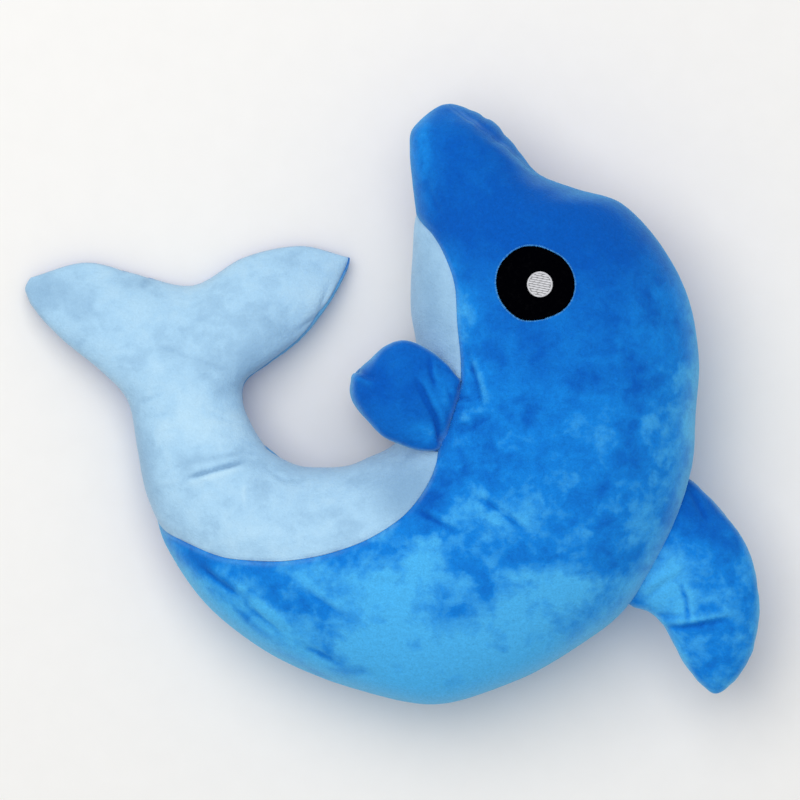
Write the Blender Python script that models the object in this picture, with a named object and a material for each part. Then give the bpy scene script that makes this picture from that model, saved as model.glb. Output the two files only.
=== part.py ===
"""A stuffed plush dolphin that lies on its side, curled like a letter C.

The toy is sewn from pile fabric. Two blue side panels meet in a seam along the back, and a light
blue belly panel joins them underneath. Inside is one mass of fibre filling. A dorsal fin and two
flippers are small stuffed pouches of two panels each, and each eye is a black fabric disc with
an embroidered pupil. The tail is twisted, so the flukes show their light underside.

Metres, +Z up. The head points to +Y, the tail to -X, and the origin is the centre of the
box that holds the toy, on the surface that it lies on. "Near" is the side that faces up.
"""

import math
from collections import namedtuple

import bmesh
import bpy
import numpy as np
from mathutils import Vector
from mathutils.bvhtree import BVHTree

MM = 0.001

# The paper pattern is drawn for a toy this long from fluke to fin, and all of its plan follows it
BODY_LENGTH = 440 * MM
PATTERN = BODY_LENGTH / 440

# Fabric and the slits between pieces
FABRIC = 1.6 * MM
SEAM_GAP = 0.3 * MM
FILLING_GAP = 0.4 * MM
ROOT_GAP = 0.3 * MM
EDGE_SLIT = 1.2 * MM
SEAM_DEPTH = 1.8 * MM
SEAM_WIDTH = 9 * MM

# Body thickness, measured across the side panels
SNOUT_THICKNESS = 38 * MM
BROW_THICKNESS = 82 * MM
CHEST_THICKNESS = 128 * MM
LOIN_THICKNESS = 100 * MM
TAIL_THICKNESS = 62 * MM
FLUKE_THICKNESS = 46 * MM
FLUKE_RIM_THICKNESS = 26 * MM

# How far the soft underside is pressed flat by the toy's own weight
BODY_PRESS = 4 * MM

# Fins
FIN_THICKNESS = 36 * MM
FIN_DROOP = 8 * MM
FLIPPER_THICKNESS = 28 * MM
ROOT_OVERLAP = 12 * MM

# Eyes
EYE_WIDTH = 47 * MM
EYE_HEIGHT = 45 * MM
EYE_FELT = 1.0 * MM
PUPIL_DIAMETER = 15.6 * MM
PUPIL_THREAD = 0.8 * MM
EYE_PLACE = (86.4 * PATTERN, 72 * PATTERN)
PUPIL_SHIFT = (2.3 * PATTERN, -0.5 * PATTERN)

# Mesh density: rows along a pouch, columns across each panel, and the least distance that
# the rows of a thin part keep
ROW_SPACING = 8 * MM
BODY_ROWS = 44
NEAR_COLUMNS = 10
BELLY_COLUMNS = 12
FAR_COLUMNS = 9
FIN_ROWS = 8
FIN_COLUMNS = 6

# A body rib is a cut across the toy, from its back edge to its belly edge, in pattern units,
# which are millimetres for a toy of the usual length
Rib = namedtuple("Rib", "back belly")
BODY_RIBS = [
    Rib((33, 180), (33, 180)),       # tip of the snout
    Rib((58, 171.5), (13.5, 166.5)),
    Rib((72.5, 156.5), (11, 151)),
    Rib((87, 138), (13, 133)),       # root of the snout
    Rib((110, 129), (15, 113)),
    Rib((137, 121), (13, 94)),
    Rib((160, 97), (12, 74)),        # eyes
    Rib((177, 65), (12, 55)),
    Rib((184, 26), (15, 37)),        # cheek
    Rib((182, -7), (16, 20)),        # flippers
    Rib((179, -40), (15, 4)),
    Rib((166, -82), (11, -10)),      # dorsal fin
    Rib((141, -121), (6, -20)),
    Rib((110, -146), (-2, -27)),
    Rib((68, -168), (-13, -32)),
    Rib((23, -179.5), (-26, -37)),   # lowest point of the belly curve
    Rib((-25, -170), (-42, -38)),
    Rib((-70, -151), (-56, -37)),
    Rib((-108, -124), (-69, -31)),
    Rib((-133, -89), (-78, -23)),
    Rib((-146, -56), (-85, -11)),
    Rib((-152, -26), (-89, 0)),      # tail stock
    Rib((-158, 2), (-88, 13)),
    Rib((-175, 21), (-74, 24)),      # root of the flukes
    Rib((-195, 37), (-55, 39)),
    Rib((-212, 54), (-38, 60)),
    Rib((-220, 68), (-27, 80)),      # tips of the flukes
    Rib((-217, 76), (-25, 88)),      # trailing edge
]

# Rib numbers where something starts or ends
CHIN = 3.9
FLIPPER_RIB = 10.3
FLIPPER_TURN = math.radians(137.4)
FIN_RIB = 11.05
HEAD_END = 8
HEAD_SETTLED = 10

# Thickness along the body, by rib number
BODY_THICKNESS = [
    (0, 0.0),
    (1, SNOUT_THICKNESS),
    (4, BROW_THICKNESS),
    (9, CHEST_THICKNESS),
    (16, LOIN_THICKNESS),
    (21, TAIL_THICKNESS),
    (24, FLUKE_THICKNESS),
    (26, FLUKE_RIM_THICKNESS),
    (27, 0.0),
]

# A rib's section grows from an ellipse to a flat cushion between these ratios of width to thickness
ROUND_RATIO = 1.8
FLAT_RATIO = 5.0

# Seams, by rib number, in degrees round the rib: 0 is the back edge, 90 the middle of the near
# side, 180 the belly edge, and the back seam runs behind the back edge where the tail twists
NEAR_SEAM = [(CHIN, 180), (4.6, 151), (5, 143.5), (5.6, 137), (6.5, 133.5), (8, 136), (9, 136),
             (10, 139.5), (11, 139.5), (12, 136), (13, 129), (14, 121), (15, 115), (16, 104),
             (17, 90), (18, 69), (19, 35), (19.6, 0), (20.5, -10), (27, -10)]
FAR_SEAM = [(CHIN, 180), (5, 214), (6, 226), (12, 224), (14, 212), (17, 193), (18.4, 176),
            (19.3, 184), (20.5, 184), (21.5, 178), (22.5, 173), (24, 170.5), (27, 170.5)]
BACK_SEAM = [(0, 75), (1, 55), (2, 34), (2.6, 18), (3.1, 5), (3.6, 0), (13, 0), (17, -15),
             (20, -50), (22, -80), (24, -90), (27, -90)]

# The flukes' trailing edge: how far it stands out from a straight line, from tip to tip, and
# how much of that each rib before it takes on
SCALLOP = [0, 7, -2, -11, 4, 9, 0]
SCALLOP_SHARE = [(0, 0.0), (22, 0.0), (24, 0.2), (25, 0.45), (26, 0.75), (27, 1.0)]

# Folds in the near side: from, to, depth and width, in pattern units
Fold = namedtuple("Fold", "start end depth width")
BODY_FOLDS = [
    Fold((-136, -46), (-88, -34), 4.5, 7),      # across the tail stock
    Fold((-112, -99), (-87, -118), 2.2, 7),     # low on the body
    Fold((-90, -119), (-63, -141), 1.8, 7),
    Fold((-56, -107), (-23, -132), 1.8, 7),
    Fold((42, 25), (54, -2), 2.5, 7),           # behind the flipper
    Fold((34, -20), (60, -6), 1.5, 7),
    Fold((57, 174), (51, 163), 1.6, 4),         # gathers of the back seam at the snout
    Fold((70, 163), (60.5, 156.5), 1.4, 4),
]
FIN_FOLDS = [Fold((160, -134), (212, -129), 4.0, 7), Fold((173, -108), (178, -130), 2.5, 6)]
FLIPPER_FOLDS = [Fold((14, 16), (22, 0), 3.0, 6), Fold((22, 0), (29, -18), 3.0, 6)]

# A fin rib goes from one edge of the fin to the other, in pattern units from the middle of the
# fin's root, with its share of the fin's thickness, its rise above the root and how much higher
# its first edge leans than its middle
FinRib = namedtuple("FinRib", "first second share rise lean", defaults=(0, 0))
FIN_OUTLINE = [
    FinRib((13.5, 40), (-21, -37.5), 0.94),
    FinRib((33, 21), (-11, -41), 1.0),
    FinRib((47, 1), (-3.5, -47.5), 1.0),
    FinRib((54, -23), (2.5, -57), 0.95),
    FinRib((55, -47), (8.5, -68), 0.85),
    FinRib((51, -66), (14, -76), 0.72),
    FinRib((41, -82), (19.5, -83), 0.5),
    FinRib((29.5, -90), (29.5, -90), 0.0),
]
FLIPPER_OUTLINE = [
    FinRib((4.5, 23), (-10.5, -20.5), 0.38, 0, 3),
    FinRib((-4, 32), (-21, -20), 0.78, 0, 2.5),
    FinRib((-16, 41), (-31, -17), 1.0, -1.5, 1),
    FinRib((-29, 46), (-42, -12), 1.0, -2.5),
    FinRib((-40.5, 42.5), (-51, -3), 0.93, -4.5),
    FinRib((-49.5, 34.5), (-57, 4), 0.8, -7.5),
    FinRib((-58, 27), (-60.5, 10), 0.55, -10.5),
    FinRib((-61.5, 18), (-61.5, 18), 0.0, -11.5),
]
FLIPPER_ROOT_RISE = 0.5 * MM

FULL_TURN = 2 * math.pi


def smooth_curve(keys, x):
    """A smooth line through (x, y) keys, flat before the first and after the last."""
    xs, ys = np.array(keys, float).T
    slopes = np.gradient(ys, xs)
    rising = np.diff(ys) / np.diff(xs)
    for k in range(1, len(xs) - 1):
        if rising[k - 1] * rising[k] <= 0:
            slopes[k] = 0
        else:
            limit = 2.5 * min(abs(rising[k - 1]), abs(rising[k]))
            slopes[k] = np.clip(slopes[k], -limit, limit)
    x = np.clip(x, xs[0], xs[-1])
    i = np.clip(np.searchsorted(xs, x, side="right") - 1, 0, len(xs) - 2)
    h = xs[i + 1] - xs[i]
    f = (x - xs[i]) / h
    return ((2 * f**3 - 3 * f**2 + 1) * ys[i] + (f**3 - 2 * f**2 + f) * h * slopes[i]
            + (3 * f**2 - 2 * f**3) * ys[i + 1] + (f**3 - f**2) * h * slopes[i + 1])


def smoothstep(low, high, x):
    f = np.clip((x - low) / (high - low), 0, 1)
    return f * f * (3 - 2 * f)


class Pouch:
    """A stuffed bag lofted through ribs that lie across it.

    A place on it has a rib number and an angle: 0 at the first edge, a quarter turn on the near
    face, half a turn at the second edge. Where the last rib has length the bag closes along it,
    and where it has none the bag closes in a point. Inset is the distance inside the skin.
    """

    def __init__(self, first, second, half_thickness, height, folds, start_closed):
        self.first = np.array(first, float)
        self.second = np.array(second, float)
        self.half = np.array(half_thickness, float)
        self.height = np.array(height, float)
        self.lean = np.zeros(len(self.height))
        self.folds = folds
        self.start_closed = start_closed
        self.last = len(self.first) - 1
        self.ends_in_line = np.linalg.norm(self.first[-1] - self.second[-1]) > 1 * MM
        self.scallop = np.zeros(self.last + 1)
        self.floor = np.zeros(self.last + 1)
        self.seams = []

    def rib(self, k, angle, inset):
        """Points on ribs k; the ribs past either end are reflections that close the bag."""
        if np.any(k < 0) or np.any(k > self.last):
            out = np.empty(k.shape + (3,))
            inside = (k >= 0) & (k <= self.last)
            out[inside] = self.rib(k[inside], angle[inside], inset)
            before = k < 0
            if self.start_closed:
                out[before] = self.rib(-k[before], angle[before] + math.pi, inset)
            else:
                root = self.rib(0 * k[before], angle[before], inset)
                out[before] = 2 * root - self.rib(-k[before], angle[before], inset)
            after = k > self.last
            turned = -angle[after] if self.ends_in_line else angle[after] + math.pi
            out[after] = self.rib(2 * self.last - k[after], turned, inset)
            return out
        a, b = self.first[k], self.second[k]
        middle = (a + b) / 2
        half_width = np.linalg.norm(b - a, axis=-1, keepdims=True) / 2
        across = np.where(half_width > 0, (b - a) / np.maximum(2 * half_width, 1e-9), 0)
        t = -np.cos(angle)
        shrunk = np.maximum(half_width - inset, 0)
        plan = middle + across * shrunk * t[..., None]
        bow = smooth_curve(list(zip(np.linspace(-1, 1, len(SCALLOP)), SCALLOP)), t) * PATTERN
        plan[..., 1] += self.scallop[k] * bow
        inward = self.end_direction(k)
        plan += inward * inset
        half = np.maximum(self.half[k] - inset, 0)
        flatness = half_width[..., 0] / np.maximum(self.half[k], 1 * MM)
        power = 1 - 0.35 * smoothstep(ROUND_RATIO, FLAT_RATIO, flatness)
        rise = np.sign(np.sin(angle)) * np.abs(np.sin(angle)) ** power
        z = self.height[k] - self.lean[k] * t + half * rise
        return np.concatenate([plan, z[..., None]], axis=-1)

    def end_direction(self, k):
        """Unit plan vector into the bag at its closed end ribs, zero elsewhere."""
        middle = (self.first + self.second) / 2
        into = np.zeros_like(middle)
        if self.start_closed:
            into[0] = (middle[1] - middle[0]) / np.linalg.norm(middle[1] - middle[0])
        into[-1] = (middle[-2] - middle[-1]) / np.linalg.norm(middle[-2] - middle[-1])
        return into[k]

    def smooth_rib(self, s, angle, inset=0.0):
        """The lofted surface before seams and folds are pulled in."""
        s, angle = np.broadcast_arrays(np.asarray(s, float), np.asarray(angle, float))
        i = np.clip(np.floor(s).astype(int), 0, self.last - 1)
        f = (s - i)[..., None]
        p = [self.rib(i + j, angle, inset) for j in (-1, 0, 1, 2)]
        return 0.5 * (2 * p[1] + (p[2] - p[0]) * f
                      + (2 * p[0] - 5 * p[1] + 4 * p[2] - p[3]) * f**2
                      + (3 * p[1] - p[0] - 3 * p[2] + p[3]) * f**3)

    def point(self, s, angle, inset=0.0):
        """A point on the finished surface, at a depth inside it."""
        s, angle = np.broadcast_arrays(np.asarray(s, float), np.asarray(angle, float))
        place = self.smooth_rib(s, angle, inset)
        skin = self.smooth_rib(s, angle)
        ribs = np.arange(self.last + 1)
        half_width = np.interp(s, ribs, np.linalg.norm(self.second - self.first, axis=-1) / 2)
        half = np.interp(s, ribs, self.half)
        pull = self.seam_pull(s, angle, half_width, half)
        for fold in self.folds:
            start, end = np.array(fold.start) * PATTERN, np.array(fold.end) * PATTERN
            along = end - start
            share = np.clip(((skin[..., :2] - start) @ along) / (along @ along), 0, 1)
            gap = np.linalg.norm(skin[..., :2] - start - share[..., None] * along, axis=-1)
            dent = fold.depth * PATTERN * np.exp(-((gap / (fold.width * PATTERN)) ** 2))
            pull += dent * smoothstep(0.0, 0.5, np.sin(angle))
        across = np.stack([np.interp(s, ribs, (self.second - self.first)[:, c]) for c in (0, 1)], -1)
        across /= np.maximum(np.linalg.norm(across, axis=-1, keepdims=True), 1e-9)
        outward = np.concatenate([-np.cos(angle)[..., None] * across, np.sin(angle)[..., None]], -1)
        place = place - pull[..., None] * outward
        place[..., 2] = np.maximum(place[..., 2], np.interp(s, ribs, self.floor) + inset)
        return place

    def seam_pull(self, s, angle, half_width, half):
        """How far the nearest seam draws the fabric in."""
        arm = np.hypot(half_width * np.sin(angle), half * np.cos(angle))
        pull = np.zeros(np.shape(s))
        for seam in self.seams:
            turn = (angle - seam(s) + math.pi) % FULL_TURN - math.pi
            pull = np.maximum(pull, SEAM_DEPTH * np.exp(-((turn * arm) / SEAM_WIDTH) ** 2))
        return pull * smoothstep(0, 2 * SEAM_WIDTH, half)

    def let_out_edges(self):
        """Moves the ribs' ends outwards, so that the outline is right with its seams drawn in."""
        s = np.arange(self.last + 1.0)
        half_width = np.linalg.norm(self.second - self.first, axis=-1) / 2
        across = (self.second - self.first) / np.maximum(2 * half_width, 1e-9)[:, None]
        self.first -= across * self.seam_pull(s, 0 * s, half_width, self.half)[:, None]
        self.second += across * self.seam_pull(s, 0 * s + math.pi, half_width, self.half)[:, None]

    def stations(self, rows, start, end, extra=()):
        """Rib numbers for the rows of a mesh: close together where the bag is thin."""
        s = np.linspace(start, end, 600)
        angles = np.linspace(0, FULL_TURN, 12, endpoint=False)
        path = self.smooth_rib(s[:, None], angles[None, :])
        step = np.linalg.norm(np.diff(path, axis=0), axis=-1).mean(axis=1)
        half = np.interp((s[1:] + s[:-1]) / 2, np.arange(self.last + 1), self.half)
        travelled = np.concatenate([[0], np.cumsum(step / (0.15 * half + ROW_SPACING))])
        chosen = np.interp(np.linspace(0, travelled[-1], rows), travelled, s)
        for value in extra:
            chosen[np.argmin(np.abs(chosen - value))] = value
        return chosen

    def rib_where_half(self, start, end, half):
        """The rib number between start and end where the near face stands this high."""
        s = np.linspace(start, end, 400)
        rise = self.smooth_rib(s, np.full(s.shape, math.pi / 2))[:, 2]
        rise = rise - self.smooth_rib(s, np.full(s.shape, -math.pi / 2))[:, 2]
        return s[np.argmin(np.abs(rise / 2 - half))]

    def trimmed(self, s, angle, side, inset=0.0):
        """The angle moved to one side of a seam by half the slit between two panels."""
        turns = np.linspace(0, 0.3, 241)[None, :]
        there = self.point(s[:, None], angle[:, None] + side * turns, inset)
        away = np.linalg.norm(there - there[:, :1], axis=-1)
        first = np.argmax(away >= SEAM_GAP / 2, axis=1)
        first[away.max(axis=1) < SEAM_GAP / 2] = turns.shape[1] - 1
        return angle + side * turns[0, first]


def seam_angle(keys):
    """A seam as a function from rib number to an angle in radians."""
    def angle(s):
        return np.radians(smooth_curve(keys, s))
    return angle


near_seam = seam_angle(NEAR_SEAM)
far_seam = seam_angle(FAR_SEAM)
back_seam = seam_angle(BACK_SEAM)


def body_pouch():
    ribs = np.arange(len(BODY_RIBS))
    half = smooth_curve(BODY_THICKNESS, ribs) / 2
    # The head follows the line of the chest, and the rest lies on the surface below
    height = half - BODY_PRESS
    height[:HEAD_END] = height[HEAD_END]
    height[-1] = height[-2]
    pouch = Pouch([np.array(r.back) * PATTERN for r in BODY_RIBS],
                  [np.array(r.belly) * PATTERN for r in BODY_RIBS], half, height, BODY_FOLDS, True)
    pouch.scallop = smooth_curve(SCALLOP_SHARE, ribs)
    # The far eye lies between the head and the surface
    eye_stack = EYE_FELT + PUPIL_THREAD + ROOT_GAP + 3 * SEAM_GAP
    pouch.floor = eye_stack * (1 - smoothstep(HEAD_END, HEAD_SETTLED, ribs))
    pouch.seams = [near_seam, far_seam, back_seam]
    pouch.let_out_edges()
    return pouch


def fin_pouch(outline, root, thickness, root_rise, droop, into_body, folds, mirror_height=None):
    """A fin's bag, with one more rib inside the body so that its root can be cut to fit."""
    first = [root[:2] + np.array(r.first) * PATTERN for r in outline]
    second = [root[:2] + np.array(r.second) * PATTERN for r in outline]
    half = [r.share * thickness / 2 for r in outline]
    lean = [r.lean * PATTERN for r in outline]
    reach = np.linspace(0, 1, len(outline))
    height = [root[2] + root_rise + r.rise * PATTERN - droop * f for r, f in zip(outline, reach)]
    step = np.array(into_body[:2]) * ROOT_OVERLAP
    first.insert(0, first[0] + step)
    second.insert(0, second[0] + step)
    half.insert(0, half[0] * 0.9)
    lean.insert(0, lean[0])
    height.insert(0, height[0] + into_body[2] * ROOT_OVERLAP)
    side = 1
    if mirror_height is not None:
        height = [2 * mirror_height - h for h in height]
        side = -1
    pouch = Pouch(first, second, half, height, folds, False)
    pouch.lean = side * np.array(lean)
    return pouch


def srgb(red, green, blue):
    """A colour read from 0 to 255, as the linear values that Blender works in."""
    values = [c / 255 for c in (red, green, blue)]
    return [c / 12.92 if c <= 0.04045 else ((c + 0.055) / 1.055) ** 2.4 for c in values]


def fabric_material(name, colour, roughness):
    material = bpy.data.materials.new(name)
    material.use_nodes = True
    shader = material.node_tree.nodes["Principled BSDF"]
    shader.inputs["Base Color"].default_value = (*colour, 1)
    shader.inputs["Roughness"].default_value = roughness
    shader.inputs["Metallic"].default_value = 0.0
    material.diffuse_color = (*colour, 1)
    return material


def add_object(name, bm, collection, material=None):
    bmesh.ops.recalc_face_normals(bm, faces=bm.faces)
    mesh = bpy.data.meshes.new(name)
    bm.to_mesh(mesh)
    bm.free()
    mesh.shade_smooth()
    mesh.set_sharp_from_angle(angle=math.radians(40))
    obj = bpy.data.objects.new(name, mesh)
    collection.objects.link(obj)
    if material:
        mesh.materials.append(material)
    return obj


def mapped_sheet(bm, columns, rows, place):
    """A grid of triangles whose corners go where place(row, column) says."""
    made = bmesh.ops.create_grid(bm, x_segments=columns, y_segments=rows, size=1)
    verts = made["verts"]
    column = np.rint([(v.co.x + 1) / 2 * columns for v in verts]).astype(int)
    row = np.rint([(v.co.y + 1) / 2 * rows for v in verts]).astype(int)
    quads = [f for f in bm.faces if len(f.verts) == 4]
    bmesh.ops.triangulate(bm, faces=quads, quad_method="FIXED")
    for v, co in zip(verts, place(row, column)):
        v.co = co
    return verts


def panel(name, pouch, stations, first_border, second_border, columns, collection, material):
    """One piece of fabric: a patch of the pouch between two seams, FABRIC thick."""
    low = pouch.trimmed(stations, first_border(stations), +1)
    high = pouch.trimmed(stations, second_border(stations), -1)
    high = np.maximum(high, low)
    bm = bmesh.new()

    def place(inset):
        def at(row, column):
            share = column / columns
            angle = low[row] * (1 - share) + high[row] * share
            return pouch.point(stations[row], angle, inset)
        return at

    rows = len(stations) - 1
    outer = mapped_sheet(bm, columns, rows, place(0.0))
    rim = [e for e in bm.edges if e.is_boundary]
    inner = mapped_sheet(bm, columns, rows, place(FABRIC))
    below = dict(zip(outer, inner))
    for edge in rim:
        a, b = edge.verts
        bm.faces.new((a, b, below[b], below[a]))
    bmesh.ops.triangulate(bm, faces=[f for f in bm.faces if len(f.verts) == 4])
    bmesh.ops.remove_doubles(bm, verts=bm.verts, dist=0.01 * MM)
    return add_object(name, bm, collection, material)


def closed_bag(name, pouch, stations, borders, columns, inset, collection, material=None):
    """The whole pouch as one solid at a depth inside its skin; borders are its seams in order."""
    lines = [border(stations) for border in borders]
    lines.append(lines[0] + FULL_TURN)
    rings = []
    for k, count in enumerate(columns):
        share = np.arange(count) / count
        rings.append(lines[k][:, None] * (1 - share) + lines[k + 1][:, None] * share)
    angles = np.concatenate(rings, axis=1)
    around = angles.shape[1]
    bm = bmesh.new()

    def at(row, column):
        return pouch.point(stations[row], angles[row, column % around], inset)

    mapped_sheet(bm, around, len(stations) - 1, at)
    bmesh.ops.remove_doubles(bm, verts=bm.verts, dist=0.01 * MM)
    rim = {v for e in bm.edges if e.is_boundary for v in e.verts}
    if rim:
        zip_slit(bm, rim)
    return add_object(name, bm, collection, material)


def zip_slit(bm, rim):
    """Closes a long, flat opening with triangles between its upper and lower lips."""
    along = sorted(rim, key=lambda v: v.co.x)
    ends = [along[0], along[-1]]
    slope = (ends[1].co.z - ends[0].co.z) / (ends[1].co.x - ends[0].co.x)
    middle = [v for v in along if v not in ends]
    upper = [v for v in middle if v.co.z >= ends[0].co.z + slope * (v.co.x - ends[0].co.x)]
    lower = [v for v in middle if v not in upper]
    upper = [ends[0], *upper, ends[1]]
    lower = [ends[0], *lower, ends[1]]
    i, j = 0, 0
    while i < len(upper) - 1 or j < len(lower) - 1:
        if j == len(lower) - 1 or (i < len(upper) - 1 and upper[i + 1].co.x < lower[j + 1].co.x):
            corners = [upper[i], upper[i + 1], lower[j]]
            i += 1
        else:
            corners = [upper[i], lower[j + 1], lower[j]]
            j += 1
        if len(set(corners)) == 3:
            bm.faces.new(corners)


def disc_on_skin(name, skin, centre, width, height, power, from_above, lift, thickness,
                 collection, material):
    """A fabric disc that lies on the skin above or below a point of the plan."""
    side = 1 if from_above else -1
    bm = bmesh.new()
    bmesh.ops.create_circle(bm, cap_ends=True, cap_tris=True, segments=24, radius=1)
    spokes = [e for e in bm.edges if not e.is_boundary]
    bmesh.ops.subdivide_edges(bm, edges=spokes, cuts=3)
    bmesh.ops.triangulate(bm, faces=bm.faces)
    rim = [e for e in bm.edges if e.is_boundary]
    base = list(bm.verts)
    copy = bmesh.ops.duplicate(bm, geom=list(bm.verts) + list(bm.edges) + list(bm.faces))
    above = {v: copy["vert_map"][v] for v in base}
    for edge in rim:
        a, b = edge.verts
        bm.faces.new((a, b, above[b], above[a]))
    bmesh.ops.triangulate(bm, faces=[f for f in bm.faces if len(f.verts) == 4])
    for v in base:
        radius = math.hypot(v.co.x, v.co.y)
        turn = math.atan2(v.co.y, v.co.x)
        round_off = (abs(math.cos(turn)) ** power + abs(math.sin(turn)) ** power) ** (-1 / power)
        x = centre[0] + radius * round_off * math.cos(turn) * width / 2
        y = centre[1] + radius * round_off * math.sin(turn) * height / 2
        start = Vector((x, y, side * 1.0))
        hit, normal, index, distance = skin.ray_cast(start, Vector((0, 0, -side)))
        above[v].co = hit + Vector((0, 0, side)) * (lift + thickness)
        v.co = hit + Vector((0, 0, side)) * lift
    return add_object(name, bm, collection, material)


def cut_root(obj, cutter):
    """Cuts a piece off at the body's skin."""
    cut = obj.modifiers.new("Root fits the body", "BOOLEAN")
    cut.operation = "DIFFERENCE"
    cut.solver = "EXACT"
    cut.object = cutter


def build_fin(name, pouch, cutter, collection, fabric, filling):
    """Two panels and a filling, cut off where they meet the body."""
    tip = pouch.last
    start = 0.0
    end = pouch.rib_where_half(tip - 0.6, tip, 1.2 * MM)
    stations = pouch.stations(FIN_ROWS, start, end)

    def edge(turn):
        return lambda s: np.full(np.shape(s), turn)

    near = panel(name + "_near_panel", pouch, stations, edge(0.0), edge(math.pi), FIN_COLUMNS,
                 collection, fabric)
    far = panel(name + "_far_panel", pouch, stations, edge(math.pi), edge(FULL_TURN), FIN_COLUMNS,
                collection, fabric)
    full = pouch.stations(FIN_ROWS, start, tip)
    full[:-1] = stations[:-1]
    inside = closed_bag(name + "_filling", pouch, full, [edge(0.0), edge(math.pi)],
                        [FIN_COLUMNS, FIN_COLUMNS], FABRIC + FILLING_GAP, collection, filling)
    for obj in (near, far, inside):
        cut_root(obj, cutter)


def build():
    for obj in list(bpy.data.objects):
        bpy.data.objects.remove(obj, do_unlink=True)
    dolphin = bpy.data.collections.new("plush_dolphin")
    cutters = bpy.data.collections.new("cutters")
    bpy.context.scene.collection.children.link(dolphin)
    bpy.context.scene.collection.children.link(cutters)

    blue = fabric_material("blue_plush", srgb(24, 117, 208), 0.9)
    light_blue = fabric_material("light_blue_plush", srgb(170, 208, 235), 0.9)
    black = fabric_material("black_eye_fabric", srgb(10, 10, 12), 0.85)
    thread = fabric_material("white_thread", srgb(215, 215, 218), 0.5)
    fibre = fabric_material("fibre_filling", srgb(240, 240, 238), 0.95)

    body = body_pouch()
    trailing_edge = body.last
    panel_start = 0.035
    panel_end = body.rib_where_half(trailing_edge - 0.5, trailing_edge, EDGE_SLIT / 2)
    stations = body.stations(BODY_ROWS, panel_start, panel_end, extra=[CHIN])
    chin_row = int(np.argmin(np.abs(stations - CHIN)))

    def around(seam):
        return lambda s: seam(s) + FULL_TURN

    panel("near_side_panel", body, stations, back_seam, near_seam, NEAR_COLUMNS, dolphin, blue)
    panel("far_side_panel", body, stations, far_seam, around(back_seam), FAR_COLUMNS, dolphin, blue)
    belly_stations = stations[chin_row:].copy()
    belly_stations[0] += 0.15 * (belly_stations[1] - belly_stations[0])
    panel("belly_panel", body, belly_stations, near_seam, far_seam, BELLY_COLUMNS, dolphin,
          light_blue)

    seams = [back_seam, near_seam, far_seam]
    columns = [NEAR_COLUMNS, BELLY_COLUMNS, FAR_COLUMNS]
    whole = np.concatenate([[0.0], stations])
    closed_bag("body_filling", body, whole, seams, columns, FABRIC + FILLING_GAP, dolphin, fibre)
    cutter = closed_bag("body_cutter", body, whole, seams, columns, -ROOT_GAP, cutters)
    cutter.hide_render = True
    cutter.display_type = "WIRE"

    fin_root = body.point(FIN_RIB, 0.0)
    fin = fin_pouch(FIN_OUTLINE, fin_root, FIN_THICKNESS, 0.0, FIN_DROOP, (-0.9, 0.44, 0.0),
                    FIN_FOLDS)
    build_fin("dorsal_fin", fin, cutter, dolphin, blue, fibre)

    flipper_root = body.point(FLIPPER_RIB, FLIPPER_TURN)
    far_root = body.point(FLIPPER_RIB, -FLIPPER_TURN)
    mid_plane = (flipper_root[2] + far_root[2]) / 2
    for name, mirror in (("near_flipper", None), ("far_flipper", mid_plane)):
        flipper = fin_pouch(FLIPPER_OUTLINE, flipper_root, FLIPPER_THICKNESS, FLIPPER_ROOT_RISE,
                            0.0, (0.7, 0.2, -1.0), FLIPPER_FOLDS if mirror is None else [], mirror)
        build_fin(name, flipper, cutter, dolphin, blue, fibre)

    mesh = cutter.data
    skin = BVHTree.FromPolygons([v.co for v in mesh.vertices], [p.vertices for p in mesh.polygons])
    pupil_place = np.add(EYE_PLACE, PUPIL_SHIFT)
    for side, from_above in (("near", True), ("far", False)):
        disc_on_skin(side + "_eye_patch", skin, EYE_PLACE, EYE_WIDTH, EYE_HEIGHT, 2.3, from_above,
                     SEAM_GAP, EYE_FELT, dolphin, black)
        disc_on_skin(side + "_eye_pupil", skin, pupil_place, PUPIL_DIAMETER, PUPIL_DIAMETER, 2.0,
                     from_above, 2 * SEAM_GAP + EYE_FELT, PUPIL_THREAD, dolphin, thread)


build()
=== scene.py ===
"""The fabric, stitching and filling of a plush dolphin that lies curled on its side.

Each panel of the toy is cut again as a fine sheet of pile fabric between the same seams as in
the CAD model. The stuffed shape is settled by a cloth simulation with its seams held, then the
creases, gathers and seam grooves are pressed in. The stitches follow paths on the fabric.

Metres, +Z up. The toy lies on its far side, and the near side faces up. The head points to +Y.
"""

import math
from collections import namedtuple

import bmesh
import bpy
import numpy as np
from bpy.props import FloatProperty, FloatVectorProperty, IntProperty, PointerProperty
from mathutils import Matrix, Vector, noise
from mathutils.bvhtree import BVHTree


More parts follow.
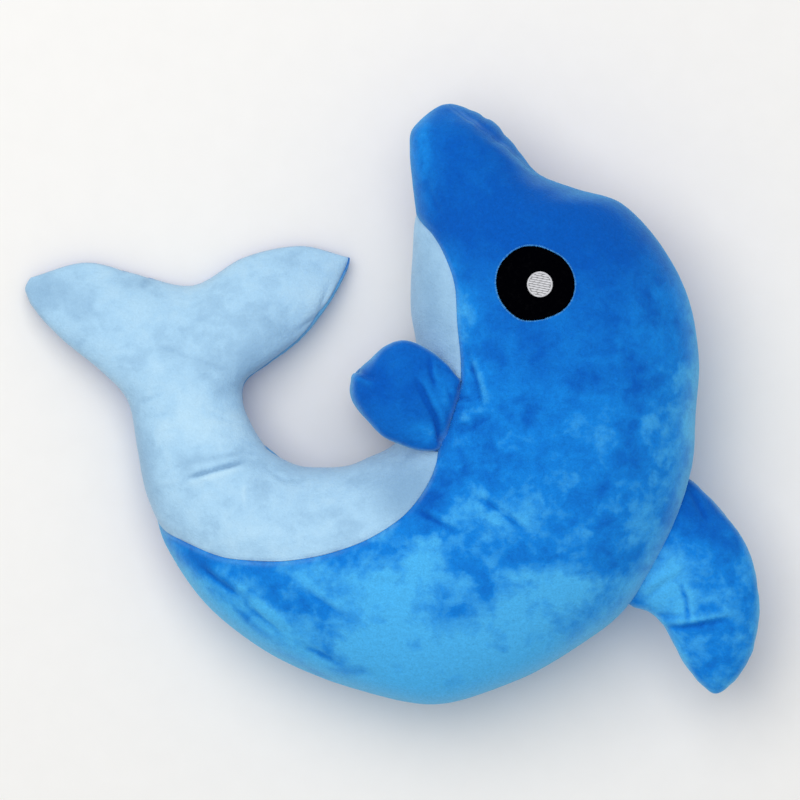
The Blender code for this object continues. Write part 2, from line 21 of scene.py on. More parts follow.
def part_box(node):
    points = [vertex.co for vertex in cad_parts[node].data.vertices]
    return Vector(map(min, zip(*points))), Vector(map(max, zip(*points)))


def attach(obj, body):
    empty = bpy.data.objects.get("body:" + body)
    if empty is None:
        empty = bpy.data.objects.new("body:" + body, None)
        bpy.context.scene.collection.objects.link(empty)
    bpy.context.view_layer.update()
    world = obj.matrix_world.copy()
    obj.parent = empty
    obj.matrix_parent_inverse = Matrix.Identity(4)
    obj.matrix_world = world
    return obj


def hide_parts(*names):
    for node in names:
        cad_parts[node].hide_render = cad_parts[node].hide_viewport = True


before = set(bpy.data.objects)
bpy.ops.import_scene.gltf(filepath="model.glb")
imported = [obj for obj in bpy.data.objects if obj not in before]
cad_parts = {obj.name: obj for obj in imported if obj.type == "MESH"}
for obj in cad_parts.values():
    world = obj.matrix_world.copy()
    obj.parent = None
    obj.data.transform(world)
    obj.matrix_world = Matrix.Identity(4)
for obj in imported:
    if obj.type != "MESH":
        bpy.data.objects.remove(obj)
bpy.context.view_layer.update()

bl_info = {
    "name": "Plush dolphin",
    "version": (1, 0, 0),
    "blender": (4, 5, 0),
    "location": "View3D > Sidebar > Plush",
    "description": "Sews, fills and stitches a plush dolphin round its CAD frame",
    "category": "Object",
}

MM = 0.001
FULL_TURN = 2 * math.pi
BODY = "root"

# A body rib is a cut across the toy, from its back edge to its belly edge, in millimetres
Rib = namedtuple("Rib", "back belly")
BODY_RIBS = [
    Rib((33, 180), (33, 180)),       # tip of the snout
    Rib((58, 171.5), (13.5, 166.5)),
    Rib((72.5, 156.5), (11, 151)),
    Rib((87, 138), (13, 133)),       # root of the snout
    Rib((110, 129), (15, 113)),
    Rib((137, 121), (13, 94)),
    Rib((160, 97), (12, 74)),        # eyes
    Rib((177, 65), (12, 55)),
    Rib((184, 26), (15, 37)),        # cheek
    Rib((182, -7), (16, 20)),        # flippers
    Rib((179, -40), (15, 4)),
    Rib((166, -82), (11, -10)),      # dorsal fin
    Rib((141, -121), (6, -20)),
    Rib((110, -146), (-2, -27)),
    Rib((68, -168), (-13, -32)),
    Rib((23, -179.5), (-26, -37)),   # lowest point of the belly curve
    Rib((-25, -170), (-42, -38)),
    Rib((-70, -151), (-56, -37)),
    Rib((-108, -124), (-69, -31)),
    Rib((-133, -89), (-78, -23)),
    Rib((-146, -56), (-85, -11)),
    Rib((-152, -26), (-89, 0)),      # tail stock
    Rib((-158, 2), (-88, 13)),
    Rib((-175, 21), (-74, 24)),      # root of the flukes
    Rib((-195, 37), (-55, 39)),
    Rib((-212, 54), (-38, 60)),
    Rib((-220, 68), (-27, 80)),      # tips of the flukes
    Rib((-217, 76), (-25, 88)),      # trailing edge
]

# Rib numbers where something starts or ends
CHIN = 3.9
FLIPPER_RIB = 10.3
FLIPPER_TURN = math.radians(137.4)
FIN_RIB = 11.05
HEAD_END = 8
HEAD_SETTLED = 10

# Thickness across the side panels, by rib number, and how flat the toy's weight presses it
BODY_THICKNESS = [(0, 0), (1, 38), (4, 82), (9, 128), (16, 100), (21, 62), (24, 46), (26, 26),
                  (27, 0)]
BODY_PRESS = 4 * MM
EYE_STACK = 3 * MM

# Seams, by rib number, in degrees round the rib: 0 is the back edge, 90 the middle of the near
# side, 180 the belly edge, and the back seam runs behind the back edge where the tail twists
NEAR_SEAM = [(CHIN, 180), (4.6, 151), (5, 143.5), (5.6, 137), (6.5, 133.5), (8, 136), (9, 136),
             (9.6, 139), (10, 142), (11, 142), (12, 136), (13, 129), (14, 121), (15, 115), (16, 104),
             (17, 90), (18, 69), (19, 35), (19.6, 0), (20.5, -10), (27, -10)]
FAR_SEAM = [(CHIN, 180), (5, 214), (6, 226), (12, 224), (14, 212), (17, 193), (18.4, 176),
            (19.3, 184), (20.5, 184), (21.5, 178), (22.5, 174), (24, 172), (27, 172)]
BACK_SEAM = [(0, 75), (1, 55), (2, 34), (2.6, 18), (3.1, 5), (3.6, 0), (13, 0), (17, -15),
             (20, -50), (22, -80), (24, -90), (27, -90)]

# The flukes' trailing edge: how far it stands out from a straight line, from tip to tip, and
# how much of that each rib before it takes on
SCALLOP = [0, 7, -2, -11, 4, 9, 0]
SCALLOP_SHARE = [(0, 0.0), (22, 0.0), (24, 0.2), (25, 0.45), (26, 0.75), (27, 1.0)]

# A rib's section grows from an ellipse to a flat cushion between these ratios of width to thickness
ROUND_RATIO = 1.8
FLAT_RATIO = 5.0

# The broad valley that each seam draws into the stuffed body
SEAM_DEPTH = 1.8 * MM
SEAM_WIDTH = 9 * MM

# A crease runs along a line of the plan. It has a depth and a width, and may have a raised lip on
# its left, or on its right if the lip is negative. A negative depth is a ridge. One that runs out
# goes on over the edge at its last end.
Crease = namedtuple("Crease", "line depth width lip runs_out", defaults=(0.0, False))
BODY_CREASES = [
    # Across the tail stock
    Crease([(-130, -46), (-113, -41.3), (-103, -38.3), (-82, -32.5)], 2.1, 1.7, -1.0),
    Crease([(-146, -48.5), (-132, -46.5), (-116, -42)], -0.5, 1.5),
    Crease([(-118, -33.5), (-100, -31), (-84, -27.5)], 0.5, 1.4, 0.2),
    Crease([(-131, -52), (-124, -51.5), (-117, -50)], 0.4, 1.4),
    Crease([(-88, -44), (-88.4, -54), (-87.6, -65)], -0.8, 1.8),
    Crease([(-71, -41.5), (-66, -45.5), (-59, -49)], 0.5, 1.3, 0.2),
    Crease([(-80, -36), (-68, -43), (-50, -49)], 0.5, 1.2, 0.3),
    Crease([(-136, -40), (-124, -36), (-112, -33)], 0.35, 1.3),
    Crease([(-128, -29), (-110, -25), (-93, -24)], 0.35, 1.3, 0.2),
    # On the flukes
    Crease([(-36, 82), (-37.5, 71.4), (-44, 53.4), (-66, 37)], 0.6, 1.5, 0.5),
    Crease([(-73, 66), (-76, 54), (-71, 43)], 0.5, 1.6),
    Crease([(-55, 66), (-62, 57), (-64, 46)], 0.4, 1.4, 0.3),
    Crease([(-180, 69), (-165, 59), (-147, 50.5)], 0.4, 1.5),
    Crease([(-143, 36.5), (-131, 32), (-117, 25.5)], 0.5, 1.3, 0.2),
    Crease([(-124, 30), (-108, 24), (-92, 17)], 0.4, 1.2, 0.2),
    Crease([(-117, 20.5), (-109, 16), (-101, 10)], 0.5, 1.2, 0.2),
    Crease([(-155, 0), (-144, 3.4), (-132, 9)], 0.6, 1.5),
    Crease([(-152, -10), (-136, -6), (-120, -7)], 0.4, 1.3),
    Crease([(-116, -2), (-100, -9), (-86, -13)], 0.5, 1.2, 0.2),
    Crease([(-112, -13), (-100, -17), (-88, -20)], 0.35, 1.2),
    Crease([(-146, -20), (-134, -16), (-118, -17)], 0.35, 1.3),
    # Low on the body
    Crease([(-118, -95), (-101, -109), (-87.3, -118.2)], 1.4, 2.2, 0.8),
    Crease([(-92, -117.5), (-78, -129), (-61, -142)], 1.3, 2.2, 0.7),
    Crease([(-103, -98), (-85.5, -113.5), (-52, -140)], -0.8, 2.6),
    Crease([(-56, -143), (-42, -151), (-28, -157.5)], 1.1, 2.4),
    Crease([(-26, -158), (-14, -163), (-2, -166)], 0.7, 2.4),
    Crease([(-58, -107.5), (-40, -120), (-21, -133)], 1.0, 2.2, 0.7),
    Crease([(-46, -106.5), (-40, -111.5), (-33, -117)], 0.7, 2.2),
    Crease([(-19, -105), (-3, -107.5), (14, -107)], 0.7, 2.2, 0.6),
    Crease([(10, -62), (27, -70), (45, -82)], 1.1, 1.8, 0.7),
    Crease([(40, -53), (54, -58), (65, -64), (76, -73), (86, -83)], 1.2, 1.8, 0.8),
    Crease([(38, -24), (43, -34), (44, -47)], 0.7, 2.0, 0.4),
    # Beside the flipper
    Crease([(44, 32), (50.1, 13.8), (54.2, -6)], 1.7, 1.7, 1.0),
    Crease([(44.5, 20), (48, 9.5), (50, 1)], 0.8, 1.5, 0.3),
    Crease([(35, 1), (39.5, 3.4), (44, 3.6), (50, 1)], 1.0, 1.4),
    Crease([(38, -0.5), (42.7, 0.5), (48, -1.5)], -0.9, 1.8),
    Crease([(43, -2), (44.5, -7), (42, -12)], -0.8, 4.5),
    Crease([(34, -20), (47, -14), (64, -4)], 1.1, 2.6, 0.5),
    Crease([(33, -26), (46, -27), (58, -24)], 0.7, 2.2),
    # Along the snout
    Crease([(19, 140), (24, 124), (31, 108)], 0.5, 1.8, 0.4),
    Crease([(24, 138), (29, 124), (34, 112)], 0.35, 1.8, 0.3),
    Crease([(84, 142), (86, 134), (82, 120)], 0.9, 4.0),
    # Gathers of the seams at the snout and behind the flukes, from the seam out over the edge
    Crease([(43, 166), (46, 172), (48, 180)], 0.3, 2.2, 0.0, True),
    Crease([(50, 162), (54, 168), (58, 175)], 0.9, 2.6, 0.0, True),
    Crease([(60, 155), (64.5, 159), (70, 164)], 0.7, 2.6, 0.0, True),
    Crease([(69, 149), (74, 151), (79, 153)], 0.35, 2.4, 0.0, True),
    Crease([(77, 142.5), (82, 143), (88, 143)], 0.25, 2.4, 0.0, True),
    Crease([(-150, 66), (-149, 73), (-148, 82)], 0.9, 2.0, 0.0, True),
    Crease([(-166, 72), (-164, 78), (-163, 86)], 0.6, 1.8, 0.0, True),
]

FIN_CREASES = [
    Crease([(156, -134.5), (174, -134), (192, -131), (210, -127.5)], 1.4, 1.7, 1.4),
    Crease([(156, -126.5), (168, -127.5), (176, -127)], 0.7, 1.6),
    Crease([(171, -104), (176.5, -118), (178.5, -134)], 1.6, 1.5, 0.8),
    Crease([(180, -116), (187, -122), (190, -129)], 0.5, 1.6, 0.3),
    Crease([(150, -120), (162, -109), (178, -100)], 1.0, 2.2, 0.9),
    Crease([(178, -49), (185, -62), (192, -74)], 0.8, 1.8, 0.4),
    Crease([(186, -46), (197, -60), (205, -72)], 0.7, 1.8),
]
FLIPPER_CREASES = [
    Crease([(12, 20), (18.3, 7.8), (21.9, 0.3), (26.7, -8.4), (29.5, -22)], 1.7, 1.7, 1.0, True),
    Crease([(22.5, 30), (23.7, 17.4), (28, 7)], 1.2, 1.3, 0.6),
    Crease([(32.5, 11.5), (34.6, 6.5), (37.5, 1.5)], 0.8, 1.2, 0.4),
    Crease([(39.5, 20), (42.7, 13.8), (39.5, 5)], 1.3, 1.3),
    Crease([(-6, 15.5), (-13, 16.5), (-19, 19), (-26, 24)], 1.9, 1.8, 0.9, True),
    Crease([(4, 36), (2, 20), (6, 4)], -0.4, 5.0),
]

# A fin rib goes from one edge of the fin to the other, in millimetres from the middle of the
# fin's root, with its share of the fin's thickness, its rise above the root and how much higher
# its first edge leans than its middle
FinRib = namedtuple("FinRib", "first second share rise lean", defaults=(0, 0))
FIN_OUTLINE = [
    FinRib((13.5, 40), (-21, -37.5), 0.94),
    FinRib((33, 21), (-11, -41), 1.0),
    FinRib((47, 1), (-3.5, -47.5), 1.0),
    FinRib((54, -23), (2.5, -57), 0.95),
    FinRib((55, -47), (8.5, -68), 0.85),
    FinRib((51, -66), (14, -76), 0.72),
    FinRib((41, -82), (19.5, -83), 0.5),
    FinRib((29.5, -90), (29.5, -90), 0.0),
]
FLIPPER_OUTLINE = [
    FinRib((4.5, 23), (-10.5, -20.5), 0.38, 0, 3),
    FinRib((-4, 32), (-21, -20), 0.78, 0, 2.5),
    FinRib((-16, 41), (-31, -17), 1.0, -1.5, 1),
    FinRib((-29, 46), (-42, -12), 1.0, -2.5),
    FinRib((-40.5, 42.5), (-51, -3), 0.93, -4.5),
    FinRib((-49.5, 34.5), (-57, 4), 0.8, -7.5),
    FinRib((-58, 27), (-60.5, 10), 0.55, -10.5),
    FinRib((-61.5, 18), (-61.5, 18), 0.0, -11.5),
]
FIN_THICKNESS = 36 * MM
FIN_DROOP = 8 * MM
FLIPPER_THICKNESS = 28 * MM
FLIPPER_ROOT_RISE = 0.5 * MM
ROOT_OVERLAP = 12 * MM

# The black eye disc: its radius in millimetres every sixteenth of a turn, from +X towards +Y
EYE_RADII = [23.2, 22.6, 22.0, 21.4, 22.4, 23.5, 23.8, 24.2, 23.9, 23.6, 23.3, 23.4, 22.1, 21.7,
             22.7, 23.3]

# Brightness of the blue pile by Y, 0 dark to 1 bright: partly pile brushing, partly painted light
NAP_AND_LIGHT_DOWN_THE_BODY = [(-150, 1.05), (-128, 0.92), (-106, 0.8), (-92, 0.56), (-60, 0.5),
                     (-28, 0.43), (20, 0.27), (62, 0.18), (110, 0.0), (170, 0.1)]
# A patch of other brightness, some brushed otherwise and some painted light and shade as marked:
# its middle, its reach along and across, its turn in degrees and how much brighter it looks
Patch = namedtuple("Patch", "middle reach turn change")
BLUE_PATCHES = [
    # Painted sheen along the back edge
    Patch((178, -5), (85, 26), 93, 0.42),       # towards the back
    Patch((40, 46), (42, 11), 100, 0.40),      # cheek, beside the throat
    # Painted sheen along the edge of the snout
    Patch((18, 150), (26, 7), 95, 0.45),       # left edge of the snout
    Patch((62, -70), (26, 14), 20, 0.25),
    Patch((20, -92), (30, 14), 10, 0.22),
    Patch((-18, -112), (22, 12), 15, 0.18),
    Patch((-38, -148), (18, 7), -30, -0.48),
    Patch((-52, -122), (20, 9), -35, -0.32),
    # Thin dark streaks along the lower edge: painted crease shade
    Patch((-91, -125), (26, 2.2), -42, -0.28),
    Patch((-55, -156), (22, 2.2), -28, -0.28),
    # Painted sheen along the lower edge
    Patch((-110, -122), (50, 6), -45, 0.48),
    Patch((-112, -97), (16, 5), -42, -0.35),
    Patch((-76, -106), (40, 12), -10, -0.34),
    # Painted light on the shaded edge of the flukes
    Patch((-45, 45), (45, 14), 60, 0.60),      # edge of the flukes
    Patch((90, -38), (24, 14), 30, -0.15),
    Patch((20, -62), (20, 12), 60, -0.25),
    Patch((85, -88), (38, 8), -5, -0.20),
    Patch((78, -108), (6, 4), 0, -0.25),
    Patch((71, -148), (9, 2.5), -15, -0.28),
    Patch((28, -163), (4, 7), 0, -0.22),
    Patch((13, -144), (8, 4), -20, -0.25),
    Patch((38, -122), (12, 7), 10, -0.32),
    Patch((58, -110), (6, 9), 0, -0.30),
    Patch((45, -107), (7, 5), 10, 0.20),
]
NAP_DOWN_THE_FIN = [(-175, 0.65), (-140, 0.74), (-112, 0.78), (-95, 0.6), (-70, 0.25), (-45, 0.0)]
FIN_PATCHES = [
    Patch((163, -106), (14, 6), 50, 0.35),
    Patch((172, -122), (12, 7), 20, 0.20),
    Patch((196, -90), (26, 9), -60, -0.15),
    Patch((211, -120), (13, 18), 0, -0.32),
    Patch((190, -143), (18, 9), -65, -0.06),
    Patch((173, -152), (20, 4), -62, 0.35),
    Patch((190, -168), (9, 6), 0, 0.20),
]
FLIPPER_PATCHES = [
    Patch((33, 6), (14, 7), -70, 0.34),
    Patch((23, -19), (10, 6), -15, 0.50),
    Patch((-12, 10), (14, 9), 60, -0.12),
]
PALE_PATCHES = [
    # Painted shade in the hollow beside the flipper
    Patch((10, -52), (26, 18), 25, -0.55),     # hollow beside the flipper
    # Painted shade on the throat beside the flipper
    Patch((24, 60), (62, 22), 95, -0.38),      # throat
    Patch((-212, 66), (18, 14), 0, -0.30),
    Patch((-85, 30), (30, 14), 50, -0.30),
    Patch((-118, -8), (30, 16), 10, 0.25),
    Patch((-108, -33), (26, 5), 14, -0.20),    # above the crease of the tail stock
    Patch((-152, -35), (10, 45), 10, -0.45),
    Patch((-45, 62), (22, 12), 60, 0.30),
    Patch((-190, 68), (24, 12), -40, -0.15),
]

# The roll of fabric beside a seam, the line beside it where the pile parts, and the depth of a
# crease at which its painted shade is darkest
SEAM_ROLL = 3.2 * MM
PARTING_OFF_SEAM = 1.4 * MM
PARTING_WIDTH = 1.6 * MM
FULL_FOLD = 1.6 * MM

# Mesh density: rows along a pouch, columns across each panel
BODY_ROWS = 520
NEAR_COLUMNS = 92
BELLY_COLUMNS = 76
FAR_COLUMNS = 66
FIN_ROWS = 120
FIN_COLUMNS = 84
SETTLE_ROWS = 130
SETTLE_COLUMNS = (38, 26, 34)
FIN_SETTLE_ROWS = 30
FIN_SETTLE_COLUMNS = (18, 18)
SETTLE_FRAMES = 20


def smooth_curve(keys, x):
    """A smooth line through (x, y) keys, flat before the first and after the last."""
    xs, ys = np.array(keys, float).T
    slopes = np.gradient(ys, xs)
    rising = np.diff(ys) / np.diff(xs)
    for k in range(1, len(xs) - 1):
        if rising[k - 1] * rising[k] <= 0:
            slopes[k] = 0
        else:
            limit = 2.5 * min(abs(rising[k - 1]), abs(rising[k]))
            slopes[k] = np.clip(slopes[k], -limit, limit)
    x = np.clip(x, xs[0], xs[-1])
    i = np.clip(np.searchsorted(xs, x, side="right") - 1, 0, len(xs) - 2)
    h = xs[i + 1] - xs[i]
    f = (x - xs[i]) / h
    return ((2 * f**3 - 3 * f**2 + 1) * ys[i] + (f**3 - 2 * f**2 + f) * h * slopes[i]
            + (3 * f**2 - 2 * f**3) * ys[i + 1] + (f**3 - f**2) * h * slopes[i + 1])


def smoothstep(low, high, x):
    f = np.clip((x - low) / (high - low), 0, 1)
    return f * f * (3 - 2 * f)


def between(p, f):
    """A smooth step from p[1] to p[2] that takes its slopes from p[0] and p[3]."""
    return 0.5 * (2 * p[1] + (p[2] - p[0]) * f + (2 * p[0] - 5 * p[1] + 4 * p[2] - p[3]) * f**2
                  + (3 * p[1] - p[0] - 3 * p[2] + p[3]) * f**3)


def at_rows(values, where):
    """The rows of an array at fractional row numbers."""
    last = len(values) - 1
    i = np.clip(np.floor(where).astype(int), 0, last - 1)
    f = (where - i).reshape((-1,) + (1,) * (values.ndim - 1))
    return between([values[np.clip(i + j, 0, last)] for j in (-1, 0, 1, 2)], f)


def bell(x, width):
    """1 where x is 0, falling away on both sides over about this width."""
    return np.exp(-((x / width) ** 2))


def roll(x, width):
    """0 where x is 0, 1 at this width, then falling away slowly."""
    return x / width * np.exp(1 - x / width)


def once_round(count):
    """Angles evenly round a full turn, without the last, which is the first again."""
    return np.linspace(0, FULL_TURN, count, endpoint=False)


def directions(turn):
    """Unit vectors of the plan, by angle."""
    return np.stack([np.cos(turn), np.sin(turn)], axis=-1)


def crowded(count, strength):
    """Shares from 0 to 1 for so many steps, closer together at both ends."""
    share = np.linspace(0, 1, count + 1)
    return (1 - strength) * share + strength * (1 - np.cos(math.pi * share)) / 2


def lengths_along(line):
    """How far each point of a line is from its start."""
    return np.concatenate([[0], np.cumsum(np.linalg.norm(np.diff(line, axis=0), axis=-1))])


def soft_noise(points, wavelength, seed):
    """A soft random value from about -1 to 1 for each point."""
    shift = Vector((17.3 * seed, 5.1 * seed, 11.7 * seed))
    flat = (points / wavelength).reshape(-1, 3)
    return np.array([noise.noise(Vector(p) + shift) for p in flat]).reshape(points.shape[:-1])


def ripple(travelled, wavelength, seed):
    """A soft random value for each length travelled along a seam."""
    line = np.stack([travelled, 0 * travelled, 0 * travelled], axis=-1)
    return 2 * soft_noise(line, wavelength, seed)


class Pouch:
    """A stuffed bag lofted through ribs that lie across it.

    A place on it has a rib number and an angle: 0 at the first edge, a quarter turn on the near
    face, half a turn at the second edge. Where the last rib has length the bag closes along it,
    and where it has none the bag closes in a point. Inset is the distance inside the skin.
    """

    def __init__(self, first, second, half_thickness, height, start_closed):
        self.first = np.array(first, float)
        self.second = np.array(second, float)
        self.half = np.array(half_thickness, float)
        self.height = np.array(height, float)
        self.lean = np.zeros(len(self.height))
        self.start_closed = start_closed
        self.last = len(self.first) - 1
        self.ends_in_line = np.linalg.norm(self.first[-1] - self.second[-1]) > 1 * MM
        self.scallop = np.zeros(self.last + 1)
        self.floor = np.zeros(self.last + 1)
        self.seams = []

    def rib(self, k, angle, inset):
        """Points on ribs k; the ribs past either end are reflections that close the bag."""
        if np.any(k < 0) or np.any(k > self.last):
            out = np.empty(k.shape + (3,))
            inside = (k >= 0) & (k <= self.last)
            out[inside] = self.rib(k[inside], angle[inside], inset)
            before = k < 0
            if self.start_closed:
                out[before] = self.rib(-k[before], angle[before] + math.pi, inset)
            else:
                root = self.rib(0 * k[before], angle[before], inset)
                out[before] = 2 * root - self.rib(-k[before], angle[before], inset)
            after = k > self.last
            turned = -angle[after] if self.ends_in_line else angle[after] + math.pi
            out[after] = self.rib(2 * self.last - k[after], turned, inset)
            return out
        a, b = self.first[k], self.second[k]
        middle = (a + b) / 2
        half_width = np.linalg.norm(b - a, axis=-1, keepdims=True) / 2
        across = np.where(half_width > 0, (b - a) / np.maximum(2 * half_width, 1e-9), 0)
        t = -np.cos(angle)
        shrunk = np.maximum(half_width - inset, 0)
        plan = middle + across * shrunk * t[..., None]
        bow = smooth_curve(list(zip(np.linspace(-1, 1, len(SCALLOP)), SCALLOP)), t) * MM
        plan[..., 1] += self.scallop[k] * bow
        plan += self.end_direction(k) * inset
        half = np.maximum(self.half[k] - inset, 0)
        flatness = half_width[..., 0] / np.maximum(self.half[k], 1 * MM)
        power = 1 - 0.35 * smoothstep(ROUND_RATIO, FLAT_RATIO, flatness)
        rise = np.sign(np.sin(angle)) * np.abs(np.sin(angle)) ** power
        z = self.height[k] - self.lean[k] * t + half * rise
        return np.concatenate([plan, z[..., None]], axis=-1)

    def end_direction(self, k):
        """Unit plan vector into the bag at its closed end ribs, zero elsewhere."""
        middle = (self.first + self.second) / 2
        into = np.zeros_like(middle)
        if self.start_closed:
            into[0] = (middle[1] - middle[0]) / np.linalg.norm(middle[1] - middle[0])
        into[-1] = (middle[-2] - middle[-1]) / np.linalg.norm(middle[-2] - middle[-1])
        return into[k]

    def smooth_rib(self, s, angle, inset=0.0):
        """The lofted surface before the seams are drawn in."""
        s, angle = np.broadcast_arrays(np.asarray(s, float), np.asarray(angle, float))
        i = np.clip(np.floor(s).astype(int), 0, self.last - 1)
        return between([self.rib(i + j, angle, inset) for j in (-1, 0, 1, 2)], (s - i)[..., None])

    def half_sizes(self, s):
        """Half the width and half the thickness at rib numbers s."""
        ribs = np.arange(self.last + 1)
        width = np.linalg.norm(self.second - self.first, axis=-1)
        return np.interp(s, ribs, width / 2), np.interp(s, ribs, self.half)

    def outward(self, s, angle):
        """Roughly the direction out of the bag."""
        ribs = np.arange(self.last + 1)
        across = np.stack([np.interp(s, ribs, (self.second - self.first)[:, c]) for c in (0, 1)], -1)
        across /= np.maximum(np.linalg.norm(across, axis=-1, keepdims=True), 1e-9)
        return np.concatenate([-np.cos(angle)[..., None] * across, np.sin(angle)[..., None]], -1)

    def skin(self, s, angle, inset=0.0):
        """The stuffed shape with its broad seam valleys, at a depth inside it."""
        s, angle = np.broadcast_arrays(np.asarray(s, float), np.asarray(angle, float))
        pull = self.seam_pull(s, angle, *self.half_sizes(s))
        place = self.smooth_rib(s, angle, inset) - pull[..., None] * self.outward(s, angle)
        place[..., 2] = np.maximum(place[..., 2], self.floor_under(s) + inset)
        return place

    def floor_under(self, s):
        return np.interp(s, np.arange(self.last + 1), self.floor)

    def seam_pull(self, s, angle, half_width, half):
        """How far the nearest seam draws the fabric in."""
        arm = np.hypot(half_width * np.sin(angle), half * np.cos(angle))
        pull = np.zeros(np.shape(s))
        for seam in self.seams:
            turn = (angle - seam(s) + math.pi) % FULL_TURN - math.pi
            pull = np.maximum(pull, SEAM_DEPTH * bell(turn * arm, SEAM_WIDTH))
        return pull * smoothstep(0, 2 * SEAM_WIDTH, half)

    def let_out_edges(self):
        """Moves the ribs' ends outwards, so that the outline is right with its seams drawn in."""
        s = np.arange(self.last + 1.0)
        half_width, half = self.half_sizes(s)
        across = (self.second - self.first) / np.maximum(2 * half_width, 1e-9)[:, None]
        self.first -= across * self.seam_pull(s, 0 * s, half_width, half)[:, None]
        self.second += across * self.seam_pull(s, 0 * s + math.pi, half_width, half)[:, None]

    def stations(self, rows, start, end):
        """Rib numbers for the rows of a mesh: close together where the bag is thin."""
        s = np.linspace(start, end, 900)
        angles = once_round(12)
        path = self.smooth_rib(s[:, None], angles[None, :])
        step = np.linalg.norm(np.diff(path, axis=0), axis=-1).mean(axis=1)
        half = self.half_sizes((s[1:] + s[:-1]) / 2)[1]
        # Closer together along the tail as well, for its fine creases
        tail = 1 + 1.6 * smoothstep(18, 19.2, s[1:]) * self.start_closed
        travelled = np.concatenate([[0], np.cumsum(step * tail / (0.1 * half + 10 * MM))])
        return np.interp(np.linspace(0, travelled[-1], rows + 1), travelled, s)

    def rib_where_half(self, start, end, half):
        """The rib number between start and end where the bag is this thick, halved."""
        s = np.linspace(start, end, 400)
        rise = self.smooth_rib(s, np.full(s.shape, math.pi / 2))[:, 2]
        rise = rise - self.smooth_rib(s, np.full(s.shape, -math.pi / 2))[:, 2]
        return s[np.argmin(np.abs(rise / 2 - half))]

    def beside(self, s, angle, distance):
        """The angle moved along the skin by a small distance."""
        turn = 0.01
        reach = np.linalg.norm(self.skin(s, angle + turn) - self.skin(s, angle), axis=-1) / turn
        return angle + np.clip(distance / np.maximum(reach, 1 * MM), -0.2, 0.2)


def seam_angle(keys):
    """A seam as a function from rib number to an angle in radians."""
    def angle(s):
        return np.radians(smooth_curve(keys, s))
    return angle


near_seam = seam_angle(NEAR_SEAM)
far_seam = seam_angle(FAR_SEAM)
back_seam = seam_angle(BACK_SEAM)


def body_pouch():
    ribs = np.arange(len(BODY_RIBS))
    half = smooth_curve(BODY_THICKNESS, ribs) * MM / 2
    # The head follows the line of the chest, and the rest lies on the surface below
    height = half - BODY_PRESS
    height[:HEAD_END] = height[HEAD_END]
    height[-1] = height[-2]
    pouch = Pouch([np.array(r.back) * MM for r in BODY_RIBS],
                  [np.array(r.belly) * MM for r in BODY_RIBS], half, height, True)
    pouch.scallop = smooth_curve(SCALLOP_SHARE, ribs)
    pouch.floor = EYE_STACK * (1 - smoothstep(HEAD_END, HEAD_SETTLED, ribs))
    pouch.seams = [near_seam, far_seam, back_seam]
    pouch.let_out_edges()
    return pouch


def fin_pouch(outline, root, thickness, root_rise, droop, into_body, mirror_height=None):
    """A fin's bag, with one more rib inside the body so that its root can be cut to fit."""
    first = [root[:2] + np.array(r.first) * MM for r in outline]
    second = [root[:2] + np.array(r.second) * MM for r in outline]
    half = [r.share * thickness / 2 for r in outline]
    lean = [r.lean * MM for r in outline]
    reach = np.linspace(0, 1, len(outline))
    height = [root[2] + root_rise + r.rise * MM - droop * f for r, f in zip(outline, reach)]
    step = np.array(into_body[:2]) * ROOT_OVERLAP
    first.insert(0, first[0] + step)
    second.insert(0, second[0] + step)
    half.insert(0, half[0] * 0.9)
    lean.insert(0, lean[0])
    height.insert(0, height[0] + into_body[2] * ROOT_OVERLAP)
    side = 1
    if mirror_height is not None:
        height = [2 * mirror_height - h for h in height]
        side = -1
    pouch = Pouch(first, second, half, height, False)
    pouch.lean = side * np.array(lean)
    return pouch


def dorsal_fin_pouch(body):
    return fin_pouch(FIN_OUTLINE, body.skin(FIN_RIB, 0.0), FIN_THICKNESS, 0.0, FIN_DROOP,
                     (-0.9, 0.44, 0.0))


def flipper_pouch(body, mirrored):
    root = body.skin(FLIPPER_RIB, FLIPPER_TURN)
    far_root = body.skin(FLIPPER_RIB, -FLIPPER_TURN)
    mirror = (root[2] + far_root[2]) / 2 if mirrored else None
    return fin_pouch(FLIPPER_OUTLINE, root, FLIPPER_THICKNESS, FLIPPER_ROOT_RISE, 0.0,
                     (0.7, 0.2, -1.0), mirror)


def crease_depth(plan, creases):
    """How far the creases press in the points of a plan; ridges count as negative."""
    pressed = np.zeros(plan.shape[:-1])
    for crease in creases:
        line = np.array(crease.line, float) * MM
        distance = np.full(pressed.shape, np.inf)
        signed = np.zeros(pressed.shape)
        share = np.zeros(pressed.shape)
        travelled = lengths_along(line)
        for a, b, start in zip(line[:-1], line[1:], travelled):
            along = b - a
            length = np.linalg.norm(along)
            f = np.clip(((plan - a) @ along) / length**2, 0, 1)
            away = plan - a - f[..., None] * along
            gap = np.linalg.norm(away, axis=-1)
            left = along[0] * away[..., 1] - along[1] * away[..., 0] >= 0
            nearer = gap < distance
            distance = np.where(nearer, gap, distance)
            signed = np.where(nearer, np.where(left, gap, -gap), signed)
            share = np.where(nearer, (start + f * length) / travelled[-1], share)
        fade = smoothstep(0, 0.35, share)
        if not crease.runs_out:
            fade = fade * smoothstep(0, 0.35, 1 - share)
        width = crease.width * MM
        aside = math.copysign(2.2, crease.lip) * width
        lip = abs(crease.lip) * bell(signed - aside, 1.5 * width)
        valley = crease.depth * bell(signed, width)
        pressed += (valley - lip) * MM * fade
    return pressed


def brushed(points, along_y, patches):
    """How bright the pile looks at each point: its brushing, with painted light and shade by place."""
    nap_and_painted_light = smooth_curve(along_y, points[..., 1] / MM)
    for patch in patches:
        away = (points[..., :2] / MM - np.array(patch.middle, float))
        turn = math.radians(patch.turn)
        along = (away[..., 0] * math.cos(turn) + away[..., 1] * math.sin(turn)) / patch.reach[0]
        across = (away[..., 1] * math.cos(turn) - away[..., 0] * math.sin(turn)) / patch.reach[1]
        nap_and_painted_light = nap_and_painted_light + patch.change * np.exp(-(along**2 + across**2))
    return nap_and_painted_light


